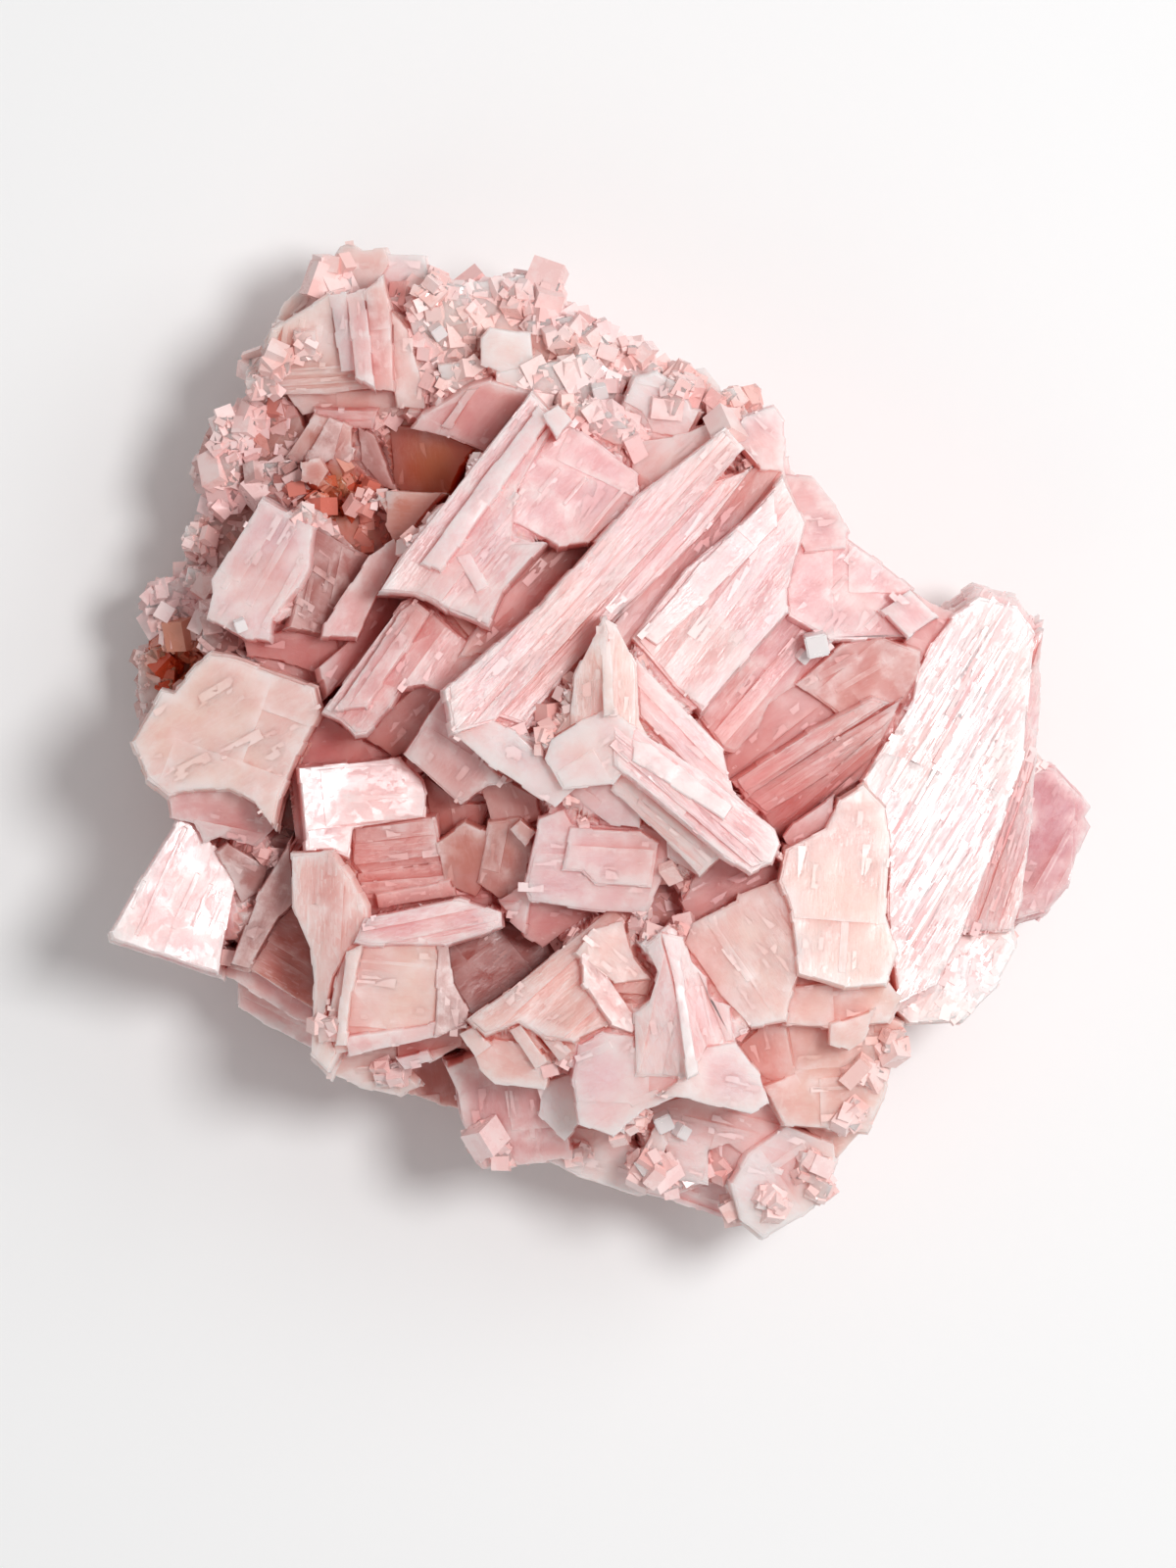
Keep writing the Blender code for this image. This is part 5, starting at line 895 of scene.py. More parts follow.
# Small crystals along stretches of the rim, and rows of tilted blocks round the side.
Druse = namedtuple("Druse", "stretch reach count edge")
druses = (
    Druse((0.02, 0.15), (0.6, 6.0), 22, (1.8, 3.2)),
    Druse((0.44, 0.52), (0.6, 2.6), 5, (2.0, 3.2)),
    Druse((0.52, 0.70), (0.6, 4.0), 9, (2.0, 3.6)),
    Druse((0.80, 0.99), (0.6, 4.5), 12, (2.0, 3.6)),
)
Flank = namedtuple("Flank", "height count edge")
flanks = (Flank(5.0, 13, (9.0, 14.0)), Flank(12.0, 14, (8.0, 12.0)), Flank(18.5, 13, (6.0, 10.0)))
blockLook = {
    "druseTilt": 0.3,  # how far a small crystal turns from the face it stands on
    "druseSunk": (0.25, 0.5),  # the share of its width that stands out
    "reach": 0.995,  # the share of the rim's reach that the side's blocks keep within
    "cover": 1.0,  # mm of ground over them
    "spacing": (0.2, 0.8),  # where in its share of the rim each one lies
    "tilt": (15, 60),  # degrees
    "lift": 1.5,  # mm that their height varies to either side
    "plates": 4,  # growth plates on each, a little proud of its faces
    "plateShare": (0.35, 0.8),  # their size as a share of the block's
    "plateRise": (0.25, 0.6),  # mm that they are thicker than the block
    "plateSlide": 0.8,  # the share of the room left that they move to either side
}


def stretchAt(way):
    first = int(way) % len(rim)
    return rim[first], rim[(first + 1) % len(rim)]


def growDruse(druse, name, ground, bodies, rng):
    tilt = blockLook["druseTilt"]
    for i in range(druse.count):
        way = rng.uniform(*druse.stretch) * len(rim)
        start, end = stretchAt(way)
        along = (end - start).normalized()
        inward = Vector((along.y, -along.x, 0))
        spot = start.lerp(end, way % 1) + inward * rng.uniform(*druse.reach)
        place, out, _, _ = groundUnder(ground, spot)
        if place is None:
            continue
        size = [rng.uniform(*druse.edge) for _ in range(2)] + [druse.edge[1] * 2]
        up = (out + Vector([rng.uniform(-tilt, tilt) for _ in range(3)])).normalized()
        turn = up.to_track_quat("Z", "Y").to_matrix() @ Matrix.Rotation(rng.uniform(0, math.pi), 3, "Z")
        sink = size[2] / 2 - rng.uniform(*blockLook["druseSunk"]) * size[0]
        bodies.addBlock(f"{name}{i}", size, place / mm - up * sink, turn, druseOwner)


def inside(spot):
    crossings = 0
    for start, end in edgesOf(rim):
        start, end = start * blockLook["reach"], end * blockLook["reach"]
        if (start.y > spot.y) != (end.y > spot.y):
            crossings += spot.x < start.x + (end.x - start.x) * (spot.y - start.y) / (end.y - start.y)
    return crossings % 2 == 1


def growFlank(flank, name, ground, bodies, rng, more):
    for i in range(flank.count):
        way = (i + rng.uniform(*blockLook["spacing"])) / flank.count * len(rim)
        start, end = stretchAt(way)
        edge = start.lerp(end, way % 1) * blockLook["reach"]
        tilt = math.radians(rng.uniform(*blockLook["tilt"]))
        spin = rng.uniform(0, math.pi / 2)
        leaning = Matrix.Rotation(math.atan2(edge.y, edge.x), 3, "Z") @ Matrix.Rotation(tilt, 3, "Y")
        turn = leaning @ Matrix.Rotation(spin, 3, "Z")
        size = [rng.uniform(*flank.edge) for _ in range(3)]
        corners = [turn @ Vector([side * part / 2 for side, part in zip(sides, size)])
                   for sides in product((-1, 1), repeat=3)]
        middle = edge + Vector((0, 0, flank.height + rng.uniform(-blockLook["lift"], blockLook["lift"])))
        while not all(inside(middle + corner) for corner in corners):
            middle -= edge * 0.01
        excess = 0.0
        for corner in corners:
            cover = groundUnder(ground, middle + corner)[0]
            top = bed["side"][-1][0] if cover is None else cover.z / mm
            excess = max(excess, middle.z + corner.z - top + blockLook["cover"])
        middle.z -= excess
        bodies.addBlock(f"{name}{i}", size, middle, turn, flankOwner)
        room = blockLook["plateSlide"]
        for k in range(blockLook["plates"]):
            shape = [part * more.uniform(*blockLook["plateShare"]) for part in size]
            axis = k % 3
            shape[axis] = size[axis] + more.uniform(*blockLook["plateRise"])
            slide = Vector([(whole - part) / 2 * more.uniform(-room, room)
                            for whole, part in zip(size, shape)])
            slide[axis] = 0
            bodies.addBlock(f"{name}{i}Plate{k}", shape, middle + turn @ slide, turn, flankOwner)


def hiddenGroup(name):
    group = bpy.data.collections.new(name)
    bpy.context.scene.collection.children.link(group)
    return group


def applyBoolean(obj, operation, group):
    change = obj.modifiers.new(operation, "BOOLEAN")
    change.operation = operation
    change.operand_type = "COLLECTION"
    change.collection = group
    change.solver = "MANIFOLD"
    mesh = evaluatedMesh(obj)
    obj.modifiers.clear()
    obj.data = mesh


# The plain prisms set the ground on which the bed, druse and flanks stand.
plain = Bodies(hiddenGroup("plain"))
for crystal in crystals:
    points = outlineOf(crystal.corners)
    rings = prismRings(points, middleOf(points), crystal.height, upOf(crystal.lean),
                       depthOf(crystal, points), flare)
    start = len(plain.owners)
    plain.add(crystal.name, rings, sideOwner)
    plain.owners[start] = upperOwner
upperFaces = plain.upperFaces()
bedPoints, bedFaces = bedShape(plain.tree(), False)
grown = Bodies(hiddenGroup("grown"))
holes = Bodies(hiddenGroup("holes"))
below = Bodies(hiddenGroup("below"))
placing, shaping = random.Random(clusterSeed), random.Random(growth["seed"])
start = len(plain.points)
plain.points += bedPoints
plain.faces += [[start + k for k in face] for face in bedFaces]
ground = plain.tree()
for i, druse in enumerate(druses):
    growDruse(druse, f"druse{i}", ground, grown, placing)
for i, flank in enumerate(flanks):
    growFlank(flank, f"flank{i}", ground, grown, placing, shaping)
for owner, crystal in enumerate(crystals):
    growCrystal(grown, crystal, owner, shaping)
for name, floor, fill, corners in pits:
    points = outlineOf(corners)
    depth = pitTop - floor - fill
    holes.add(name, prismRings(points, middleOf(points), pitTop, Vector((0, 0, 1)), depth, flare), bedOwner)
wide, deep = 300.0, 60.0  # mm, the block that cuts the underside flat
below.addBlock("underside", (wide, wide, deep), Vector((0, 0, -deep / 2)), Matrix.Identity(3), bedOwner)

massive = Bodies(hiddenGroup("massive"))
massive.link("massiveSalt", *bedShape(upperFaces, True), bedOwner)
cluster = massive.group.objects["massiveSalt"]
applyBoolean(cluster, "DIFFERENCE", holes.group)
applyBoolean(cluster, "UNION", grown.group)
applyBoolean(cluster, "DIFFERENCE", below.group)
print("joined", len(cluster.data.polygons), "faces")


def keepOuterShell(bm):
    # closed pockets between the crystals go, because nothing can reach them
    left, shells = set(bm.faces), []
    while left:
        shell, stack = set(), [left.pop()]
        while stack:
            face = stack.pop()
            shell.add(face)
            linked = {other for edge in face.edges for other in edge.link_faces} & left
            left -= linked
            stack += linked
        shells.append(shell)
    outer = max(shells, key=len)
    bmesh.ops.delete(bm, geom=[face for face in bm.faces if face not in outer], context="FACES")


surface = {
    "fine": 2.0,  # mm, the longest edge on what faces up
    "coarse": 6.0,  # mm, and low down or underneath
    "coarseBelow": 14.0,  # mm
    "under": -0.2,  # a face that looks down more than this is underneath
    "flat": 2.0,  # degrees; faces that meet at less are one face
    "rounds": 9,  # of splitting, at most
    "sharp": 0.45,  # radians, the least turn that counts as an edge
    "wear": (0.0, 0.22),  # how much an edge's points are drawn in
    "wearLumps": 0.9,  # how many changes of that to the millimetre
    "lump": (0.045, 0.30),  # mm of unevenness, and how many lumps to the millimetre
    "chip": (0.05, 1.3),
    "rays": 24,
    "rayLift": 0.05,  # mm above the face where they start
    "reach": 14.0,  # mm, how far away a neighbour still shades a face
    "farShare": 0.6,  # how open a ray counts that ends at that reach
    "owned": 0.5,  # mm, how far a face may lie from the crystal it belongs to
    "hardEdge": 24,  # degrees, from which an edge isn't shaded smooth
}


def refine(bm):
    bmesh.ops.dissolve_limit(bm, angle_limit=math.radians(surface["flat"]), verts=bm.verts, edges=bm.edges)
    bmesh.ops.triangulate(bm, faces=bm.faces)
    for _ in range(surface["rounds"]):
        edges = []
        for edge in bm.edges:
            length = edge.calc_length() / mm
            if length <= surface["fine"]:
                continue
            low = (edge.verts[0].co.z + edge.verts[1].co.z) / 2 < surface["coarseBelow"] * mm
            under = all(face.normal.z < surface["under"] for face in edge.link_faces)
            if length > (surface["coarse"] if low or under else surface["fine"]):
                edges.append(edge)
        if not edges:
            break
        bmesh.ops.subdivide_edges(bm, edges=edges, cuts=1)
        bmesh.ops.triangulate(bm, faces=[face for face in bm.faces if len(face.verts) > 3])


def weather(bm, low, high):
    # draws in the outer edges unevenly and makes the faces a little uneven, inside the box low to high
    moved, wearAndEdgeHighlight = [], []
    for vert in bm.verts:
        place = vert.co / mm
        convex = any(edge.is_convex and edge.calc_face_angle(0) > surface["sharp"]
                     for edge in vert.link_edges)
        lump = noise.noise(place * surface["lump"][1]) * surface["lump"][0]
        lump += noise.noise(place * surface["chip"][1] + Vector((9, 2, 5))) * surface["chip"][0]
        target = vert.co + vert.normal * lump * mm
        if convex:
            around = middleOf([edge.other_vert(vert).co for edge in vert.link_edges])
            share = 0.5 + noise.noise(place * surface["wearLumps"] + Vector((4, 4, 4)))
            least, most = surface["wear"]
            target = target.lerp(around, least + (most - least) * min(1.0, max(0.0, share)))
        moved.append(target)
        wearAndEdgeHighlight.append(1.0 if convex else 0.0)
    for vert, target in zip(bm.verts, moved):
        if vert.co.z > 1e-6:  # the points of the underside stay where they are
            vert.co = [min(max(part, least), most) for part, least, most in zip(target, low, high)]
    return np.array(wearAndEdgeHighlight)


def hemisphere(count):
    golden = math.pi * (3 - math.sqrt(5))
    made = []
    for k in range(count):
        rise = math.sqrt(1 - (k + 0.5) / count)  # more rays near the normal
        flat = math.sqrt(1 - rise * rise)
        made.append(Vector((flat * math.cos(golden * k), flat * math.sin(golden * k), rise)))
    return made


def openness(bm):
    tree = BVHTree.FromBMesh(bm)
    rays, reach = hemisphere(surface["rays"]), surface["reach"] * mm
    shares = []
    for vert in bm.verts:
        turn = vert.normal.to_track_quat("Z", "Y").to_matrix()
        start = vert.co + vert.normal * surface["rayLift"] * mm
        clear = 0.0
        for ray in rays:
            distance = tree.ray_cast(start, turn @ ray, reach)[3]
            clear += 1.0 if distance is None else (distance / reach) * surface["farShare"]
        shares.append(clear / len(rays))
    return np.array(shares)


def blurred(values, ends, times):
    for _ in range(times):
        total, weight = values.copy(), np.ones(len(values))
        np.add.at(total, ends[:, 0], values[ends[:, 1]])
        np.add.at(total, ends[:, 1], values[ends[:, 0]])
        np.add.at(weight, ends.ravel(), 1)
        values = total / weight
    return values


def setAttribute(mesh, name, kind, domain, values):
    field = {"FLOAT": "value", "FLOAT_COLOR": "color"}.get(kind, "vector")
    data = mesh.attributes.new(name, kind, domain).data
    data.foreach_set(field, np.ascontiguousarray(values, np.float32).ravel())


bm = bmesh.new()
bm.from_mesh(cluster.data)
keepOuterShell(bm)
refine(bm)
bm.normal_update()
low, high = cadBox
wearAndEdgeHighlight = weather(bm, low, high)
bmesh.ops.recalc_face_normals(bm, faces=bm.faces)
bm.normal_update()
print("refined", len(bm.faces), "triangles")
clear = openness(bm)
bm.to_mesh(cluster.data)
bm.free()
print("shaded")

mesh = cluster.data
salt = placed("saltCluster", mesh)
mesh.name = "saltCluster"
faceCount = len(mesh.polygons)
places = readOut(mesh.vertices, "co", 3) / mm
ends = readOut(mesh.edges, "vertices", 2, np.int32)
corners = readOut(mesh.loops, "vertex_index", 1, np.int32).reshape(-1, 3)
normals = readOut(mesh.polygons, "normal", 3)
centres = places[corners].mean(axis=1)

# which crystal each face belongs to
tree = grown.tree()
owners = np.full(faceCount, bedOwner)
for k, centre in enumerate(centres):
    _, _, index, distance = tree.find_nearest(Vector(centre) * mm)
    if distance < surface["owned"] * mm:
        owners[k] = grown.owners[index]

# Tint, gloss, heading, upward way and grooving of each crystal. The last three rows are those that the
# owners below zero reach: druse, blocks of the side and the massive salt.
mixing = random.Random(growth["seed"] + 1)
crustGloss = 0.2  # whatever is duller than this is crust
looks = []
for crystal in crystals:
    shift = mixing.uniform(0.97, 1.03)
    tint = [part * shift for part in tints[listed(tintOf, crystal.name, "pink")]]
    heading = headingOf(outlineOf(crystal.corners), ridgesOf.get(crystal.name, (0, None))[1])
    grooved = 1.0 if crystal.name in stripsOf or crystal.name in striated else 0.25
    looks.append((tint, listed(glossOf, crystal.name, 0.35), heading, upOf(crystal.lean), grooved))
looks += [(tints["crust"], 0.15, Vector((1, 0, 0)), Vector((0, 0, 1)), 0.2)] * 3
tone, gloss, heads, ups, streak = (np.array(values, np.float32) for values in zip(*looks))


def reachOf(crystal, spots):
    # how far each spot is, on the plan, from the outline of its crystal
    points = np.array([point.to_2d() for point in outlineOf(crystal.corners)])
    ends = np.roll(points, -1, axis=0) - points
    away = spots[:, None, :2] - points[None]
    share = np.clip(np.sum(away * ends, axis=2) / np.sum(ends * ends, axis=1), 0, 1)
    return np.linalg.norm(away - share[..., None] * ends, axis=2).min(axis=1)


def setOnFaces(name, values, kind="FLOAT"):
    setAttribute(mesh, name, kind, "FACE", values)


reach = np.full(faceCount, 1000.0)  # mm, as good as no limit
for k, crystal in enumerate(crystals):
    if gloss[k] >= crustGloss:
        reach[owners == k] = reachOf(crystal, centres[owners == k])
setOnFaces("reach", reach * mm)
setOnFaces("streak", streak[owners])
topFacing = np.clip((np.sum(normals * ups[owners], axis=1) - 0.8) * 8, 0, 1)
setOnFaces("tint", np.concatenate([tone[owners], np.ones((faceCount, 1))], axis=1), "FLOAT_COLOR")
setOnFaces("gloss", gloss[owners] * (0.35 + 0.65 * topFacing))
setOnFaces("crust", (gloss[owners] < crustGloss) * np.where(owners == bedOwner, 0.4, 1.0))
for name, chosen in (("striated", striated), ("sparkling", sparkling)):
    members = [k for k, crystal in enumerate(crystals) if crystal.name in chosen]
    setOnFaces(name, np.isin(owners, members) * topFacing)
setOnFaces("smooth", (gloss[owners] >= crustGloss) * (gloss[owners] < 0.8) * topFacing)

# the grain runs along the crystal on its upper face and level round its sides
along = np.where(topFacing[:, None] > 0, heads[owners], np.cross(normals, ups[owners]))
along -= normals * np.sum(along * normals, axis=1)[:, None]
along /= np.maximum(np.linalg.norm(along, axis=1), 1e-3)[:, None]
setOnFaces("heading", along, "FLOAT_VECTOR")
across = np.cross(normals, along)
spots = places[corners]
grain = np.stack([np.einsum("fkd,fd->fk", spots, along), np.einsum("fkd,fd->fk", spots, across)], axis=2)
grain += (owners * 7.3)[:, None, None]  # so that no two crystals share a pattern
setAttribute(mesh, "grain", "FLOAT2", "CORNER", grain)

# The worn edges also carry a painted highlight in the material.
wearAndEdgeHighlight = np.maximum(wearAndEdgeHighlight, blurred(wearAndEdgeHighlight, ends, 1) * 0.8)
setAttribute(mesh, "rim", "FLOAT", "POINT", wearAndEdgeHighlight)
# How open each point is to the sky; the material paints shade where it is closed in and highlight where it is
# open.
clear = blurred(clear, ends, 2)
setAttribute(mesh, "open", "FLOAT", "POINT", clear)
# Red-orange painted shade round the spots in the hollows.
ember = np.zeros(len(places))
for corner, height, stained in hollowShadeSpots:
    spot = onPlan(corner) + Vector((0, 0, height))
    away = np.linalg.norm((places - np.array(spot)) * np.array((1, 1, 0.5)), axis=1)
    ember = np.maximum(ember, np.exp(-(away / stained) ** 2))
setAttribute(mesh, "ember", "FLOAT", "POINT", ember)
mesh.shade_smooth()
mesh.set_sharp_from_angle(angle=math.radians(surface["hardEdge"]))
print("attributes set")


class Wire:
    # a node socket that takes part in sums

    def __init__(self, tree, socket=None):
        self.tree, self.socket = tree, socket

    def add(self, kind, settings=None, sockets=None, out=0):
        node = self.tree.nodes.new(kind)
        for name, value in (settings or {}).items():
            setattr(node, name, value)
        self.feed(node, sockets or {})
        return Wire(self.tree, node.outputs[out])

    def feed(self, node, sockets):
        # each input gets the wire or the plain value that is given for it
        for key, value in sockets.items():
            if isinstance(value, Wire):
                self.tree.links.new(value.socket, node.inputs[key])
            else:
                node.inputs[key].default_value = value

    def sum(self, operation, first, second):
        return self.add("ShaderNodeMath", {"operation": operation}, {0: first, 1: second})

    def __add__(self, other):
        return self.sum("ADD", self, other)

    __radd__ = __add__

    def __sub__(self, other):
        return self.sum("SUBTRACT", self, other)

    def __rsub__(self, other):
        return self.sum("SUBTRACT", other, self)

    def __mul__(self, other):
        return self.sum("MULTIPLY", self, other)

    __rmul__ = __mul__

    def __pow__(self, other):
        return self.sum("POWER", self, other)

    def ramp(self, low, high):
        # 0 below low and 1 above high, smoothly
        return self.add("ShaderNodeMapRange", {"interpolation_type": "SMOOTHSTEP"},
                        {"Value": self, "From Min": low, "From Max": high})

    def red(self):
        return self.add("ShaderNodeSeparateColor", None, {"Color": self})

    def mix(self, factor, other, blend="MIX"):
        other = other if isinstance(other, Wire) else (*other, 1)
        return self.add("ShaderNodeMix", {"data_type": "RGBA", "blend_type": blend},
                        {0: factor, 6: self, 7: other}, out=2)


def attribute(wire, name, out=2):
    return wire.add("ShaderNodeAttribute", {"attribute_name": name}, out=out)


def noiseOf(wire, place, scale, detail=3.0, rough=0.55, stretch=None):
    if stretch is not None:
        place = wire.add("ShaderNodeMapping", None, {"Vector": place, "Scale": stretch})
    return wire.add("ShaderNodeTexNoise", None,
                    {"Vector": place, "Scale": scale, "Detail": detail, "Roughness": rough})


def newMaterial(name):
    material = bpy.data.materials.new(name)
    material.use_nodes = True
    tree = material.node_tree
    return material, Wire(tree), tree.nodes["Principled BSDF"]


saltLook = {
    "cream": (1.0, 0.97, 0.90),  # a warm cast, multiplied in
    "blush": (0.95, 0.75, 0.73),  # redder bands and steps, multiplied in
    "deep": (0.88, 0.56, 0.52),  # painted shade in the recesses, multiplied in
    "wine": (0.62, 0.07, 0.02),  # painted deep shade in the deepest pits
    "rust": (0.64, 0.20, 0.08),  # red-orange painted shade beside them
    "frostAndHighlight": (0.95, 0.80, 0.78),  # frosted paleness, and painted highlight on edges and hairline steps
    "scatter": (0.0038, 0.0031, 0.0030),  # metres that light travels in it, by colour
    "glow": (1.0, 0.82, 0.79),  # the thin edges, where the light leaves it
}


def terraces(wire, grain, stretch, seed):
    # little rectangular steps that follow the crystal, each a height of its own
    place = wire.add("ShaderNodeMapping", None,
                     {"Vector": grain, "Scale": stretch, "Location": (seed, seed, 0)})
    return wire.add("ShaderNodeTexVoronoi", {"distance": "CHEBYCHEV", "voronoi_dimensions": "2D"},
                    {"Vector": place, "Scale": 1.0, "Randomness": 0.85}, out=1).red()


def saltMaterial(name, scatterWeight, shade):
    material, wire, shader = newMaterial(name)
    place = wire.add("ShaderNodeTexCoord", out=3)
    grain, tint = attribute(wire, "grain", 1), attribute(wire, "tint", 0)
    clear, edge, streak = attribute(wire, "open"), attribute(wire, "rim"), attribute(wire, "streak")
    shine, hollowShadeMask = attribute(wire, "gloss"), attribute(wire, "ember")

    cloud = noiseOf(wire, place, 85.0, 3.0)
    patch = noiseOf(wire, place, 330.0, 5.0, 0.62)
    speck = noiseOf(wire, place, 1500.0, 2.0, 0.6)
    bands = noiseOf(wire, grain, 1.0, 2.0, 0.5, (0.03, 0.5, 1.0))
    lines = noiseOf(wire, grain, 1.0, 3.0, 0.6, (0.06, 3.2, 1.0))
    steps = terraces(wire, grain, (0.16, 0.6, 1.0), 3.0)
    chips = terraces(wire, grain, (0.6, 1.4, 1.0), 9.0)
    broken = cloud.ramp(0.55, 0.45)

    # each layer: how much of it, and its colour
    colour = tint.mix(cloud.ramp(0.42, 0.66) * 0.8, saltLook["cream"], "MULTIPLY")
    colour = colour.mix(bands.ramp(0.62, 0.35) * streak * 0.65, saltLook["blush"], "MULTIPLY")
    colour = colour.mix(patch.ramp(0.55, 0.35) * 0.35, saltLook["blush"], "MULTIPLY")
    colour = colour.mix(steps * 0.25 + chips * broken * 0.4, saltLook["blush"], "MULTIPLY")
    # Painted shade: darker where the surface is closed in from the sky.
    colour = colour.mix((1 - clear).ramp(0.10, 0.80) * shade, saltLook["deep"], "MULTIPLY")
    # Frosted paleness, laid on more where a face is open to the light: partly painted highlight.
    colour = colour.mix(patch.ramp(0.48, 0.80) * 0.35 * clear ** 2, saltLook["frostAndHighlight"])
    colour = colour.mix(lines.ramp(0.50, 0.62) * streak * clear ** 2 * 0.5, saltLook["frostAndHighlight"])
    # Painted highlight along the outer edges, stronger where they are open.
    colour = colour.mix(edge * clear * 0.45, saltLook["glow"])
    colour = colour.mix(edge * clear.ramp(0.3, 0.8) * patch.ramp(0.45, 0.6) * 0.5, saltLook["frostAndHighlight"])
    # Red-orange painted shade in the hollows, and painted deep shade in the pits where they are closed in.
    colour = colour.mix(hollowShadeMask.ramp(0.15, 0.7) * 0.85, saltLook["rust"])
    colour = colour.mix(hollowShadeMask.ramp(0.1, 0.5) * (1 - clear).ramp(0.45, 0.8) * 0.95, saltLook["wine"])

    dull = chips.ramp(0.50, 0.60) * 0.5 + cloud.ramp(0.48, 0.54) * 0.7
    rough = 0.36 - shine * 0.24 + patch.ramp(0.4, 0.6) * 0.12 + bands.ramp(0.45, 0.7) * 0.08
    rough = rough + shine.ramp(0.7, 0.9) * (1 - streak) * dull * 0.3
    height = (lines * 0.6 + bands * 0.5) * streak + patch * 0.5 + speck * 0.05
    height = (height + steps * 0.5 + chips * broken * 0.6) * (1 - shine * 0.75)
    bump = wire.add("ShaderNodeBump", None, {"Strength": 0.5, "Distance": 0.00035, "Height": height})

    wire.feed(shader, {"Base Color": colour, "Roughness": rough, "Normal": bump, "IOR": saltIor,
                       "Subsurface Weight": scatterWeight, "Subsurface Radius": saltLook["scatter"],
                       "Subsurface Scale": 1.0})
    return material


pinkHalite = saltMaterial("pinkHalite", 0.8, 1.0)
fineHalite = saltMaterial("fineHalite", 0.0, 0.35)
salt.data.materials.clear()
salt.data.materials.append(pinkHalite)


# Small blocks scattered over the salt: growth steps along the crystals' faces, and druse on the crust.
# Sizes are in mm along the heading, across it and into the salt; rise is a share of the last.
scatters = {
    "striations": {
        "Where": "striated", "Above": 0.5, "Density": 0.8, "Least": (3.0, 0.08, 0.5),
        "Greatest": (22.0, 0.5, 0.6), "Power": 1.5, "Wobble": (0.15, 0.01, 0.02), "Least rise": 0.02,
        "Greatest rise": 0.2, "Paleness": 0.2, "Shine": 1.0, "Seed": 3,
    },
    "growthSteps": {
        "Where": "smooth", "Above": 0.5, "Density": 0.3, "Least": (0.25, 0.12, 0.4),
        "Greatest": (3.6, 0.9, 0.5), "Power": 3.2, "Wobble": (0.07, 0.03, 0.06), "Least rise": 0.03,
        "Greatest rise": 0.18, "Paleness": 0.25, "Shine": 0.4, "Seed": 4,
    },
    "sparkle": {
        "Where": "sparkling", "Above": 0.5, "Density": 1.5, "Least": (0.3, 0.25, 0.5),
        "Greatest": (3.0, 1.0, 1.6), "Power": 2.0, "Wobble": (0.16, 0.16, 0.4), "Least rise": 0.1,
        "Greatest rise": 0.6, "Paleness": 1.0, "Shine": 1.0, "Seed": 6,
    },
    "fineDruse": {
        "Where": "crust", "Above": 0.3, "Density": 1.0, "Least": (0.4, 0.4, 0.6),
        "Greatest": (2.0, 1.7, 2.0), "Power": 2.2, "Wobble": (0.5, 0.5, 3.1), "Least rise": 0.1,
        "Greatest rise": 0.42, "Paleness": 1.0, "Shine": 0.7, "Seed": 5,
    },
    "coarseDruse": {
        "Where": "crust", "Above": 0.5, "Density": 0.09, "Least": (1.2, 1.2, 1.6),
        "Greatest": (3.0, 2.6, 3.4), "Power": 1.6, "Wobble": (0.45, 0.45, 3.1), "Least rise": 0.12,
        "Greatest rise": 0.4, "Paleness": 1.0, "Shine": 0.5, "Seed": 8,
    },
}
lengths = ("Least", "Greatest")
sizeSpread = ((0.7, 0.7, 0.9), (1.3, 1.3, 1.2))  # the least and the most that each block's sizes vary by


